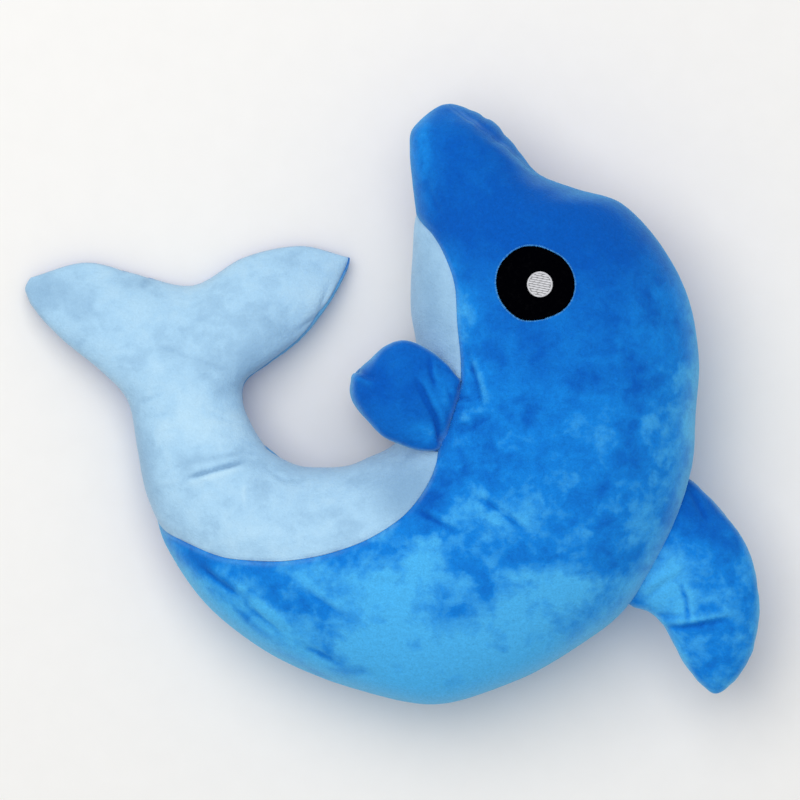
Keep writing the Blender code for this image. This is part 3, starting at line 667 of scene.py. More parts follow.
def normals_of(grid, roughly):
    """Unit normals of a grid of points, on the side that the rough directions point to."""
    normal = np.cross(np.gradient(grid, axis=0), np.gradient(grid, axis=1))
    normal /= np.maximum(np.linalg.norm(normal, axis=-1, keepdims=True), 1e-12)
    return normal if (normal * roughly).sum() > 0 else -normal


def swollen(pouch, stations, borders, columns, sizes):
    """How far the fabric moves out or in when it is stuffed, for each panel.

    A cloth simulation blows the bag up with its seams held, and the cloth is cut a little too
    long for them, so it puckers between them. The ribs have the fullness of the bag already,
    so only what varies along the bag is kept.
    """
    lines = [border(stations) for border in borders]
    lines.append(lines[0] + FULL_TURN)
    rings = [lines[k][:, None] + (lines[k + 1] - lines[k])[:, None] * np.arange(n)[None, :] / n
             for k, n in enumerate(columns)]
    angle = np.concatenate(rings, axis=1)
    s = np.broadcast_to(stations[:, None], angle.shape)
    start = pouch.skin(s, angle)
    rows, around = angle.shape
    nodes = np.arange(rows * around).reshape(rows, around)
    mesh = bpy.data.meshes.new("settling_cloth")
    mesh.from_pydata(start.reshape(-1, 3), [], ring_faces(rows, around))
    turn_faces_out(mesh, 0)
    cloth_object = placed("settling_cloth", mesh)
    held = np.zeros((rows, around), bool)
    held[:, np.cumsum([0, *columns[:-1]])] = True
    held[:2] = True
    held[-2:] = True
    group = cloth_object.vertex_groups.new(name="seams")
    group.add(nodes[held].tolist(), 1.0, "REPLACE")
    modifier = cloth_object.modifiers.new("Stuffing", "CLOTH")
    cloth = modifier.settings
    cloth.quality = 5
    cloth.mass = 0.2
    cloth.tension_stiffness = 20
    cloth.compression_stiffness = 12
    cloth.shear_stiffness = 6
    cloth.bending_stiffness = 1.5
    cloth.air_damping = 3
    cloth.use_pressure = True
    cloth.uniform_pressure_force = sizes.stuffing_pressure
    cloth.shrink_min = -sizes.slack
    cloth.effector_weights.gravity = 0
    cloth.vertex_group_mass = "seams"
    modifier.collision_settings.use_collision = False
    modifier.collision_settings.use_self_collision = False
    modifier.point_cache.frame_start = 1
    modifier.point_cache.frame_end = SETTLE_FRAMES
    scene = bpy.context.scene
    for number in range(1, SETTLE_FRAMES + 1):
        scene.frame_set(number)
    stuffed = cloth_object.evaluated_get(bpy.context.evaluated_depsgraph_get()).to_mesh()
    moved = np.empty(rows * around * 3)
    stuffed.vertices.foreach_get("co", moved)
    bpy.data.objects.remove(cloth_object)
    bpy.data.meshes.remove(mesh)
    scene.frame_set(1)
    out = normals_of(start, pouch.outward(s, angle))
    swell = ((moved.reshape(rows, around, 3) - start) * out).sum(axis=-1)
    swell = np.clip(swell, -sizes.swell_cap, sizes.swell_cap)
    reach = 5
    window = bell(np.arange(-2 * reach, 2 * reach + 1), reach)
    padded = np.pad(swell, ((2 * reach, 2 * reach), (0, 0)), mode="edge")
    fullness = np.array([np.average(padded[k:k + len(window)], axis=0, weights=window)
                         for k in range(rows)])
    puckers = (swell - fullness) * sizes.pucker_share
    puckers = np.concatenate([puckers, puckers[:, :1]], axis=1)
    edges = np.cumsum([0, *columns])
    return [puckers[:, a:b + 1] for a, b in zip(edges[:-1], edges[1:])]


Panel = namedtuple("Panel", "outer inner parting fold flank")


def sewn_panel(pouch, s, low, high, columns, sizes, seeds, puckers):
    """Two faces of a piece of fabric between two seams, with its grooves, puckers and creases."""
    share = crowded(columns, 0.65)
    angle = low[:, None] + (high - low)[:, None] * share[None, :]
    s = np.broadcast_to(s if s.ndim == 2 else s[:, None], angle.shape)
    return dressed(pouch, s, angle, share, sizes, seeds, BODY_CREASES, puckers, 1.0)


def dressed(pouch, s, angle, share, sizes, seeds, creases, puckers, unrest):
    """Two faces of the fabric at rib numbers and angles, with all that shapes its surface.

    The share is how far each column is across the panel, and unrest is how restless it lies.
    """
    stuffed = pouch.skin(s, angle)
    out = normals_of(stuffed, pouch.outward(s, angle))
    up = out[..., 2]
    plan = stuffed[..., :2]
    # Thin edges have no room for folds
    room = smoothstep(2 * MM, 12 * MM, pouch.half_sizes(s)[1])
    rise = -crease_depth(plan, [c for c in creases if not c.runs_out]) * smoothstep(0.0, 0.35, up)
    rise -= crease_depth(plan, [c for c in creases if c.runs_out]) * smoothstep(-0.75, -0.3, up)
    # Painted crease shade: dark in the valleys, light on the lips
    fold = np.clip(-rise / FULL_FOLD, -1, 1)
    fold = np.sign(fold) * np.abs(fold) ** 1.4
    rise += sizes.lump_height * soft_noise(stuffed, 42 * MM, 3) * room
    if puckers is not None:
        rows = np.linspace(0, len(puckers) - 1, len(s))
        fine = at_rows(at_rows(puckers, rows).T, share * (puckers.shape[1] - 1)).T
        rise += fine * room * unrest
    broad = stuffed + out * rise[..., None]
    across = np.linalg.norm(np.diff(stuffed, axis=1), axis=-1)
    from_low = np.concatenate([np.zeros((len(s), 1)), np.cumsum(across, axis=1)], axis=1)
    from_high = from_low[:, -1:] - from_low
    fine_rise = np.zeros(s.shape)
    parting = np.zeros(s.shape)
    for away, column, seed in ((from_low, 0, seeds[0]), (from_high, -1, seeds[1])):
        travelled = lengths_along(stuffed[:, column])
        wave = ripple(travelled, sizes.pucker_spacing, seed)
        wave += 0.5 * ripple(travelled, 4 * MM, seed + 7)
        strength = 0.6 + 0.8 * ripple(travelled, 70 * MM, seed + 3)
        wave = wave * np.clip(strength, 0.15, 1.4) * unrest
        # The seam hardly shows along the snout
        at_snout = 1 - 0.65 * smoothstep(4.5, 3.0, s) if pouch.start_closed else 1.0
        groove = bell(away, sizes.groove_width) * at_snout
        bump = roll(away, SEAM_ROLL)
        fine_rise += sizes.pucker_height * wave[:, None] * bump - sizes.groove_depth * groove
        parting += bell(away - PARTING_OFF_SEAM, PARTING_WIDTH) * (0.6 + 0.4 * wave[:, None])
    outer = broad + out * (fine_rise * (0.25 + 0.75 * room))[..., None]
    inner = broad - out * (sizes.cloth_thickness * (0.35 + 0.65 * room))[..., None]
    outer[..., 2] = np.maximum(outer[..., 2], pouch.floor_under(s))
    inner[..., 2] = np.maximum(inner[..., 2], pouch.floor_under(s) + sizes.cloth_thickness * 0.6)
    # Painted sheen and shade on the steep sides, which face away from straight up
    flank = smoothstep(0.7, 0.15, up) * smoothstep(-0.5, 0.1, up)
    if pouch.start_closed:
        # Less painted sheen on the sides of the head
        flank = flank * (0.45 + 0.55 * smoothstep(6, 9, s))
    return Panel(outer, inner, np.clip(parting, 0, 1), fold, flank)


def placed(name, data):
    """A new object at the origin, in the scene."""
    obj = bpy.data.objects.new(name, data)
    bpy.context.scene.collection.objects.link(obj)
    return obj


def ring_faces(rows, around, start=0):
    """Faces between rows of points that each close into a ring."""
    nodes = start + np.arange(rows * around).reshape(rows, around)
    right = np.roll(nodes, -1, axis=1)
    quads = np.stack([nodes[:-1], right[:-1], right[1:], nodes[1:]], axis=-1)
    return quads.reshape(-1, 4).tolist()


def grid_faces(rows, columns, start=0):
    nodes = start + np.arange(rows * columns).reshape(rows, columns)
    return np.stack([nodes[:-1, :-1], nodes[:-1, 1:], nodes[1:, 1:], nodes[1:, :-1]], axis=-1)


def turn_faces_out(mesh, merged):
    """Turns a mesh's faces outwards, after points closer than the merged distance are made one."""
    bm = bmesh.new()
    bm.from_mesh(mesh)
    if merged > 0:
        bmesh.ops.remove_doubles(bm, verts=bm.verts, dist=merged)
    bmesh.ops.recalc_face_normals(bm, faces=bm.faces)
    bm.to_mesh(mesh)
    bm.free()


def new_piece(name, points, faces, material, attributes=None):
    """An object at the origin whose faces point outwards."""
    mesh = bpy.data.meshes.new(name)
    mesh.from_pydata(points, [], faces)
    for key, values in (attributes or {}).items():
        layer = mesh.attributes.new(key, "FLOAT", "POINT")
        layer.data.foreach_set("value", np.asarray(values, np.float32).ravel())
    turn_faces_out(mesh, 0.001 * MM)
    mesh.shade_smooth()
    mesh.materials.append(material)
    return placed(name, mesh)


def fabric_piece(name, panel, material, along_y, patches):
    """One closed sheet of fabric: its outer face, its inner face and its cut edge."""
    rows, columns = panel.outer.shape[:2]
    count = rows * columns
    faces = grid_faces(rows, columns).reshape(-1, 4).tolist()
    faces += grid_faces(rows, columns, count)[..., ::-1].reshape(-1, 4).tolist()
    nodes = np.arange(count).reshape(rows, columns)
    rim = np.concatenate([nodes[0, :-1], nodes[:-1, -1], nodes[-1, :0:-1], nodes[:0:-1, 0]])
    following = np.roll(rim, -1)
    faces += np.stack([rim, rim + count, following + count, following], axis=-1).tolist()
    points = np.concatenate([panel.outer.reshape(-1, 3), panel.inner.reshape(-1, 3)])
    looks = {"parting": panel.parting, "fold": panel.fold, "flank": panel.flank,
             "nap_and_painted_light": brushed(panel.outer, along_y, patches)}
    both = {key: np.tile(values.ravel(), 2) for key, values in looks.items()}
    return new_piece(name, points, faces, material, both)


def filling_piece(name, pouch, s, creases, sizes, material):
    """A lump of fibre that fills the bag, a little clear of the fabric round it."""
    around = 96
    angle = once_round(around)[None, :] + 0 * s
    s = s + 0 * angle
    inset = sizes.cloth_thickness + sizes.filling_clearance
    lump = pouch.skin(s, angle, inset)
    out = normals_of(lump, pouch.outward(s, angle))
    rise = -crease_depth(lump[..., :2], creases) * smoothstep(0.0, 0.35, out[..., 2])
    rise += 0.45 * MM * soft_noise(lump, 7 * MM, 5)
    lump = lump + out * np.minimum(rise, 0.5 * MM)[..., None]
    lump[..., 2] = np.maximum(lump[..., 2], pouch.floor_under(s) + inset)
    faces = ring_faces(len(lump), around)
    last = (len(lump) - 1) * around
    for ring in (np.arange(around), last + np.arange(around)):
        for k in range(around // 2):
            corners = [ring[k], ring[k + 1], ring[-k - 1], ring[-k % around]]
            faces.append(list(dict.fromkeys(int(c) for c in corners)))
    return new_piece(name, lump.reshape(-1, 3), faces, material)


def belongs(piece, nodes):
    """The piece stands for its CAD nodes and rides on the toy's one body."""
    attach(piece, BODY)
    if nodes:
        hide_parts(*nodes)


def skin_tree(names):
    """A search tree of the fabric pieces' faces."""
    points, faces = [], []
    for name in names:
        mesh = bpy.data.objects[name].data
        start = len(points)
        points += [v.co for v in mesh.vertices]
        faces += [[start + k for k in p.vertices] for p in mesh.polygons]
    return BVHTree.FromPolygons(points, faces)


def root_ribs(pouch, skin, angles):
    """Where a fin's fabric meets the body, by angle: the rib number of the first touch."""
    steps = np.linspace(0, 3, 91)
    lines = pouch.skin(steps[:, None], np.asarray(angles)[None, :])
    found = []
    for column in range(lines.shape[1]):
        root = 0.0
        for k in range(len(steps) - 1, 0, -1):
            here, there = Vector(lines[k, column]), Vector(lines[k - 1, column])
            length = (there - here).length
            hit = skin.ray_cast(here, (there - here).normalized(), length)
            if hit[0] is not None:
                share = min(1.0, (hit[3] + 0.3 * MM) / length)
                root = steps[k] + (steps[k - 1] - steps[k]) * share
                break
        found.append(root)
    return np.array(found)


def fin_stations(pouch, skin, angles, rows, end):
    """Rib numbers for the rows of a fin, column by column, from where it meets the body."""
    sample = np.linspace(0, FULL_TURN, 97)
    roots = root_ribs(pouch, skin, sample[:-1])
    roots = np.append(roots, roots[0])
    start = np.interp(np.asarray(angles) % FULL_TURN, sample, roots)
    share = crowded(rows, 0.35)
    return start[None, :] + (end - start)[None, :] * share[:, None]


def sew_fin(name, pouch, creases, along_y, patches, sizes, look, seed):
    """A fin's two panels and its filling, sewn against the body's skin."""
    skin = skin_tree(["near_side_plush", "far_side_plush", "belly_plush"])
    tip = pouch.last
    end = pouch.rib_where_half(tip - 0.6, tip, 0.25 * MM)
    puckers = [None, None]
    stations = pouch.stations(FIN_SETTLE_ROWS, 0.6, end)
    puckers = swollen(pouch, stations, [lambda s: 0 * s, lambda s: 0 * s + math.pi],
                      FIN_SETTLE_COLUMNS, sizes)
    share = crowded(FIN_COLUMNS, 0.65)
    for k, side in enumerate(("near", "far")):
        angle = math.pi * (k + share)
        s = fin_stations(pouch, skin, angle, FIN_ROWS, end)
        angles = np.broadcast_to(angle[None, :], s.shape)
        seeds = (seed + k, seed + 1 - k)
        pressed = [c for c in creases if k == 0 or c.runs_out]
        panel = dressed(pouch, s, angles, share, sizes, seeds, pressed, puckers[k], sizes.fin_unrest)
        panel = gathered_root(panel, pouch, s, angles, sizes, seed)
        piece = fabric_piece(f"{name}_{side}_plush", panel, look, along_y, patches)
        belongs(piece, [f"{name}_{side}_panel"])
    around = once_round(96)
    s = fin_stations(pouch, skin, around, 50, tip)
    s[0] += 0.05
    lump = filling_piece(f"{name}_fibre", pouch, s, creases, sizes, fibre_finish())
    belongs(lump, [f"{name}_filling"])


def gathered_root(panel, pouch, s, angles, sizes, seed):
    """Draws a fin's fabric in at its root, with small pleats that fade out from it."""
    away = np.cumsum(np.concatenate([np.zeros((1, s.shape[1])),
                                     np.linalg.norm(np.diff(panel.outer, axis=0), axis=-1)]), axis=0)
    travelled = lengths_along(panel.outer[0])
    wave = ripple(travelled, 9 * MM, seed + 20)[None, :]
    rise = sizes.root_pleat * wave * roll(away, 5 * MM)
    rise -= sizes.root_pull * bell(away, 3.5 * MM)
    out = normals_of(panel.outer, pouch.outward(s, angles))
    shift = out * rise[..., None]
    return panel._replace(outer=panel.outer + shift, inner=panel.inner + shift)


def find_socket(sockets, key):
    if key is None:
        return None
    if isinstance(key, int):
        return sockets[key]
    return next(s for s in sockets if key in (s.identifier, s.name))


def add_node(tree, kind, settings=None, sockets=None, result=0):
    """Adds a node of any kind and gives one output; sockets go by identifier, name or number."""
    made = tree.nodes.new(kind)
    for key, value in (settings or {}).items():
        setattr(made, key, value)
    for key, value in (sockets or {}).items():
        socket = find_socket(made.inputs, key)
        if isinstance(value, bpy.types.NodeSocket):
            tree.links.new(value, socket)
        else:
            socket.default_value = value
    return find_socket(made.outputs, result)


class Value:
    """A shader socket that arithmetic can be done on: each operation adds a Math node."""

    def __init__(self, finish, socket):
        self.finish = finish
        self.socket = socket

    def __add__(self, other):
        return self.finish.maths("ADD", self, other)

    def __radd__(self, other):
        return self.finish.maths("ADD", other, self)

    def __sub__(self, other):
        return self.finish.maths("SUBTRACT", self, other)

    def __rsub__(self, other):
        return self.finish.maths("SUBTRACT", other, self)

    def __mul__(self, other):
        return self.finish.maths("MULTIPLY", self, other)

    def __rmul__(self, other):
        return self.finish.maths("MULTIPLY", other, self)

    def step(self, low, high):
        """0 below low, 1 above high, smooth between; the other way round if low is higher."""
        return self.finish.node("ShaderNodeMapRange", {"interpolation_type": "SMOOTHSTEP"},
                                {"Value": self, "From Min": low, "From Max": high})


class Finish:
    """A material under construction."""

    def __init__(self, name):
        self.material = bpy.data.materials.new(name)
        self.material.use_nodes = True
        self.tree = self.material.node_tree
        self.tree.nodes.clear()
        self.place = self.node("ShaderNodeTexCoord", result="Object")

    def node(self, kind, settings=None, sockets=None, result=0):
        plain = {key: value.socket if isinstance(value, Value) else value
                 for key, value in (sockets or {}).items()}
        return Value(self, add_node(self.tree, kind, settings, plain, result))

    def maths(self, operation, *values):
        return self.node("ShaderNodeMath", {"operation": operation}, dict(enumerate(values)))

    def noise(self, place, scale, detail=2.0, roughness=0.5, distortion=0.0, result=0):
        return self.node("ShaderNodeTexNoise", {}, {
            "Vector": place, "Scale": scale, "Detail": detail, "Roughness": roughness,
            "Distortion": distortion}, result)

    def mix(self, share, first, second):
        return self.node("ShaderNodeMix", {"data_type": "RGBA"}, {
            "Factor_Float": share, "A_Color": first, "B_Color": second}, "Result_Color")

    def shifted(self, place, amount, scale):
        """A place pushed about by soft noise."""
        push = self.noise(place, scale, 1.0, result="Color")
        centred = self.node("ShaderNodeVectorMath", {"operation": "SUBTRACT"},
                            {0: push, 1: (0.5, 0.5, 0.5)})
        scaled = self.node("ShaderNodeVectorMath", {"operation": "SCALE"},
                           {0: centred, "Scale": amount})
        return self.node("ShaderNodeVectorMath", {"operation": "ADD"}, {0: place, 1: scaled})

    def turned(self, place, angle, stretch):
        return self.node("ShaderNodeMapping", {}, {
            "Vector": place, "Rotation": (0, 0, angle), "Scale": stretch})

    def attribute(self, name):
        return self.node("ShaderNodeAttribute", {"attribute_name": name}, {}, "Fac")

    def ramp(self, share, stops):
        """Colours that blend from stop to stop as the share grows."""
        made = self.node("ShaderNodeValToRGB", {}, {"Fac": share}, "Color")
        band = made.socket.node.color_ramp
        while len(band.elements) < len(stops):
            band.elements.new(0.5)
        for element, (position, colour) in zip(band.elements, stops):
            element.position = position
            element.color = linear(colour)
        return made

    def finished(self, colour, roughness, more, bump=None):
        """The material, with a bump if its height, strength and depth are given."""
        if bump:
            sockets = dict(zip(("Height", "Strength", "Distance"), bump))
            more = {**more, "Normal": self.node("ShaderNodeBump", {}, sockets)}
        shader = self.node("ShaderNodeBsdfPrincipled", {}, {
            "Base Color": colour, "Roughness": roughness, **more})
        self.node("ShaderNodeOutputMaterial", {}, {"Surface": shader}, None)
        return self.material


def linear(colour):
    """A colour read as 0 to 1 from a picture, as the linear values of a shader, with alpha."""
    return (*[c / 12.92 if c <= 0.04045 else ((c + 0.055) / 1.055) ** 2.4 for c in colour], 1.0)


def shared(name, make):
    """The material of this name, made once."""
    return bpy.data.materials.get(name) or make()


def plush_finish(name, deep, plain, bright, tips, mottle, valley, grain, sheen):
    """Short pile fabric: patches of pile brushing with painted light, painted sheen and shade on steep
    sides, painted crease shade, a soft lustre and a fine pile.
    """
    finish = Finish(name)
    place = finish.place
    nap_and_painted_light = finish.attribute("nap_and_painted_light")
    wandering = finish.shifted(place, 0.008, 70)
    blotch = finish.noise(wandering, 44, 2.5, 0.55).step(0.34, 0.66)
    patch = finish.noise(wandering, 105, 3.0, 0.6).step(0.36, 0.64)
    broad = finish.noise(place, 17, 1.0).step(0.3, 0.7)
    strokes = finish.noise(finish.turned(wandering, 0.6, (1.0, 2.6, 1.0)), 170, 4.0, 0.7)
    pile = finish.noise(place, 900, 2.0, 0.6)
    fleck = finish.noise(place, 380, 4.0, 0.7)
    restless = nap_and_painted_light.step(0.05, 0.5) * nap_and_painted_light.step(1.25, 0.8) + 0.3
    amount = restless * mottle
    shade = nap_and_painted_light + (blotch - 0.5) * amount + (broad - 0.5) * (amount * 0.7)
    shade = shade + (patch - 0.5) * (amount * 0.6) + (strokes - 0.5) * 0.5 * mottle
    flank = finish.attribute("flank")
    # Painted sheen lightens the steep sides; painted shade darkens crease valleys and lightens their
    # lips
    shade = shade + flank * 0.15 - finish.attribute("fold") * valley
    colour = finish.ramp(shade, [(0.0, deep), (0.5, plain), (1.0, bright)])
    # Steep sides and seam parting lines blend towards a tint: painted sheen on the blue pile, painted
    # shade on the light pile
    colour = finish.mix(flank * 0.45 + finish.attribute("parting") * 0.2, colour, linear(tips))
    speckle = (fleck - 0.5) * grain + (pile - 0.5) * grain
    colour = finish.node("ShaderNodeHueSaturation", {}, {
        "Value": 1.0 + speckle, "Color": colour})
    height = pile * 0.6 + fleck * 0.8 + strokes * 0.8 + blotch * 0.4
    lustre = {"Specular IOR Level": 0.08, "Sheen Weight": 0.7, "Sheen Roughness": 0.35,
              "Sheen Tint": sheen}
    return finish.finished(colour, 0.88, lustre, (height, 0.5, 1.2 * MM))


def black_finish():
    finish = Finish("black_pile")
    fleck = finish.noise(finish.place, 420, 3.0, 0.6)
    pile = finish.noise(finish.place, 1200, 2.0, 0.6)
    colour = finish.mix(fleck.step(0.5, 0.8), linear((0.0, 0.0, 0.01)), linear((0.02, 0.02, 0.03)))
    return finish.finished(colour, 0.95, {"Specular IOR Level": 0.01}, (fleck + pile, 0.5, 0.8 * MM))


def thread_finish(name, colour, shade):
    """Twisted embroidery thread with a satin gloss."""
    finish = Finish(name)
    twist = finish.noise(finish.turned(finish.place, 0.16, (1.0, 5.0, 1.0)), 900, 2.0, 0.5)
    tint = finish.mix(twist.step(0.3, 0.7), linear(shade), linear(colour))
    gloss = {"Anisotropic": 0.4, "Sheen Weight": 0.15}
    return finish.finished(tint, 0.42 + twist * 0.12, gloss, (twist, 0.35, 0.2 * MM))


def fibre_finish():
    """White polyester fibre, with soft clumps."""
    def make():
        finish = Finish("fibre_filling_look")
        clump = finish.noise(finish.shifted(finish.place, 0.01, 60), 130, 4.0, 0.65)
        strand = finish.noise(finish.turned(finish.place, 1.1, (1.0, 9.0, 3.0)), 420, 3.0, 0.6)
        shade, white = linear((0.80, 0.81, 0.83)), linear((0.97, 0.97, 0.97))
        colour = finish.mix(clump.step(0.3, 0.7), shade, white)
        soft = {"Sheen Weight": 0.3, "Subsurface Weight": 0.15, "Subsurface Scale": 4 * MM}
        return finish.finished(colour, 0.95, soft, (clump + strand * 0.6, 0.7, 2 * MM))
    return shared("fibre_filling_look", make)


def blue_finish(colours):
    return shared("blue_pile", lambda: plush_finish(
        "blue_pile", colours.blue_deep, colours.blue_plain, colours.blue_bright, colours.blue_painted_sheen,
        0.26, 0.45, 0.40, (0.14, 0.55, 0.80, 1.0)))


def light_blue_finish(colours):
    return shared("light_blue_pile", lambda: plush_finish(
        "light_blue_pile", colours.pale_deep, colours.pale_plain, colours.pale_bright,
        colours.pale_painted_side_shade, 0.19, 0.7, 0.15, (0.45, 0.50, 0.55, 1.0)))


def stitch_tree():
    """Geometry Nodes: stitches set along a path that lies on the fabric."""
    name = "Stitches along a path"
    if name in bpy.data.node_groups:
        return bpy.data.node_groups[name]
    tree = bpy.data.node_groups.new(name, "GeometryNodeTree")
    tree.interface.new_socket("Path", in_out="INPUT", socket_type="NodeSocketGeometry")
    for label in ("Pitch", "Length", "Width", "Height", "Turn", "Swing", "Unevenness"):
        tree.interface.new_socket(label, in_out="INPUT", socket_type="NodeSocketFloat")
    tree.interface.new_socket("Seed", in_out="INPUT", socket_type="NodeSocketInt")
    tree.interface.new_socket("Thread", in_out="INPUT", socket_type="NodeSocketMaterial")
    tree.interface.new_socket("Stitches", in_out="OUTPUT", socket_type="NodeSocketGeometry")

    def add(kind, settings=None, inputs=None, result=0):
        return add_node(tree, kind, settings, inputs, result)

    given = tree.nodes.new("NodeGroupInput").outputs
    curve = add("GeometryNodeMeshToCurve", {}, {"Mesh": given["Path"]})
    spaced = add("GeometryNodeResampleCurve", {"mode": "LENGTH"}, {
        "Curve": curve, "Length": given["Pitch"]})
    ball = add("GeometryNodeMeshIcoSphere", {}, {"Radius": 0.5, "Subdivisions": 2})
    lay = add("GeometryNodeInputNamedAttribute", {"data_type": "FLOAT_VECTOR"}, {"Name": "lay"},
              "Attribute")
    standing = add("FunctionNodeAlignRotationToVector", {"axis": "Z"}, {"Vector": lay})
    tangent = add("GeometryNodeInputTangent")
    along = add("FunctionNodeAlignRotationToVector", {"axis": "X", "pivot_axis": "Z"}, {
        "Rotation": standing, "Vector": tangent})
    index = add("GeometryNodeInputIndex")
    odd = add("ShaderNodeMath", {"operation": "MODULO"}, {0: index, 1: 2.0})
    side = add("ShaderNodeMath", {"operation": "MULTIPLY_ADD"}, {0: odd, 1: 2.0, 2: -1.0})
    turn = add("ShaderNodeMath", {"operation": "MULTIPLY_ADD"}, {
        0: side, 1: given["Swing"], 2: given["Turn"]})
    euler = add("ShaderNodeCombineXYZ", {}, {"Z": turn})
    swing = add("FunctionNodeEulerToRotation", {}, {0: euler})
    rotation = add("FunctionNodeRotateRotation", {"rotation_space": "LOCAL"}, {
        "Rotation": along, "Rotate By": swing})
    least = add("ShaderNodeMath", {"operation": "SUBTRACT"}, {0: 1.0, 1: given["Unevenness"]})
    uneven = add("FunctionNodeRandomValue", {"data_type": "FLOAT"}, {
        "Min_001": least, "Max_001": 1.0, "Seed": given["Seed"]}, "Value_001")
    size = add("ShaderNodeCombineXYZ", {}, {
        "X": given["Length"], "Y": given["Width"], "Z": given["Height"]})
    scaled = add("ShaderNodeVectorMath", {"operation": "SCALE"}, {0: size, "Scale": uneven})
    balls = add("GeometryNodeInstanceOnPoints", {}, {
        "Points": spaced, "Instance": ball, "Rotation": rotation, "Scale": scaled})
    real = add("GeometryNodeRealizeInstances", {}, {0: balls})
    threaded = add("GeometryNodeSetMaterial", {}, {"Geometry": real, "Material": given["Thread"]})
    add("NodeGroupOutput", {}, {0: threaded}, None)
    return tree


def stitches(name, paths, lays, thread, **values):
    """A mesh of stitches along paths, whose upper side faces the lay directions."""
    points = np.concatenate(paths)
    edges, start = [], 0
    for path in paths:
        edges += [(start + k, start + k + 1) for k in range(len(path) - 1)]
        start += len(path)
    mesh = bpy.data.meshes.new(name)
    mesh.from_pydata(points, edges, [])
    layer = mesh.attributes.new("lay", "FLOAT_VECTOR", "POINT")
    layer.data.foreach_set("vector", np.concatenate(lays).astype(np.float32).ravel())
    holder = placed(name, mesh)
    tree = stitch_tree()
    modifier = holder.modifiers.new("Stitches", "NODES")
    modifier.node_group = tree
    sockets = {item.name: item.identifier for item in tree.interface.items_tree}
    for label, value in {**values, "Thread": thread}.items():
        modifier[sockets[label]] = value
    made = bpy.data.meshes.new_from_object(
        holder.evaluated_get(bpy.context.evaluated_depsgraph_get()))
    bpy.data.objects.remove(holder)
    bpy.data.meshes.remove(mesh)
    made.name = name
    made.shade_smooth()
    return made


def upright(paths, facing):
    """Lay directions straight up or down for every point of some paths."""
    return [np.tile((0, 0, facing), (len(path), 1)) for path in paths]


def joined(name, meshes):
    """One object from several meshes, each with its own materials."""
    materials = []
    bm = bmesh.new()
    for mesh in meshes:
        first = len(bm.faces)
        bm.from_mesh(mesh)
        bm.faces.ensure_lookup_table()
        numbers = []
        for material in mesh.materials:
            if material not in materials:
                materials.append(material)
            numbers.append(materials.index(material))
        for face in bm.faces[first:]:
            face.material_index = numbers[face.material_index]
    whole = bpy.data.meshes.new(name)
    bm.to_mesh(whole)
    bm.free()
    for material in materials:
        whole.materials.append(material)
    return placed(name, whole)


def eye_radius(turn):
    """The black disc's radius in the plan, by direction."""
    step = (np.asarray(turn) % FULL_TURN) / (FULL_TURN / len(EYE_RADII))
    wrapped = np.array(EYE_RADII + EYE_RADII + EYE_RADII) * MM
    return at_rows(wrapped[:, None], np.ravel(step) + len(EYE_RADII))[:, 0].reshape(np.shape(turn))


class Surface:
    """Looks up the height of the fabric above or below a point of the plan."""

    def __init__(self, tree, side):
        self.tree = tree
        self.side = side

    def at(self, plan, lift):
        """Points on the fabric, raised off it."""
        plan = np.asarray(plan, float)
        rays = [self.tree.ray_cast(Vector((x, y, self.side)), Vector((0, 0, -self.side)))
                for x, y in plan.reshape(-1, 2)]
        out = np.array([ray[0] for ray in rays]).reshape(plan.shape[:-1] + (3,))
        out[..., 2] += self.side * lift
        return out


def disc_mesh(name, surface, centre, radius_at, lift, thickness, roll, rings, spokes, material):
    """A soft disc on the fabric, with a rolled edge."""
    turn = once_round(spokes)
    ring = crowded(rings, 0.0)[1:] ** 0.8
    reach = radius_at(turn)[None, :] * ring[:, None]
    plan = centre + reach[..., None] * directions(turn)
    edge = (radius_at(turn)[None, :] - reach) / roll
    dome = np.sqrt(np.clip(1 - (1 - np.clip(edge, 0, 1)) ** 2, 0, 1))
    middle = centre[None, :]
    parts = [surface.at(plan, lift + thickness * (0.25 + 0.75 * dome)), surface.at(plan, lift),
             surface.at(middle, lift + thickness), surface.at(middle, lift)]
    points = np.concatenate([part.reshape(-1, 3) for part in parts])
    count = rings * spokes
    faces = []
    for start, hub in ((0, 2 * count), (count, 2 * count + 1)):
        faces += ring_faces(rings, spokes, start)
        faces += [[hub, start + k, start + (k + 1) % spokes] for k in range(spokes)]
    outer = count - spokes + np.arange(spokes)
    right = np.roll(outer, -1)
    faces += np.stack([outer, right, right + count, outer + count], axis=-1).tolist()
    return new_piece(name, points, faces, material)


def length_property(name, description, size, least, most):
    """A length whose default and limits are given in millimetres."""
    return FloatProperty(name=name, description=description, default=size * MM, min=least * MM,
                         max=most * MM, subtype="DISTANCE", unit="LENGTH")


def number_property(name, description, value, least, most):
    return FloatProperty(name=name, description=description, default=value, min=least, max=most)


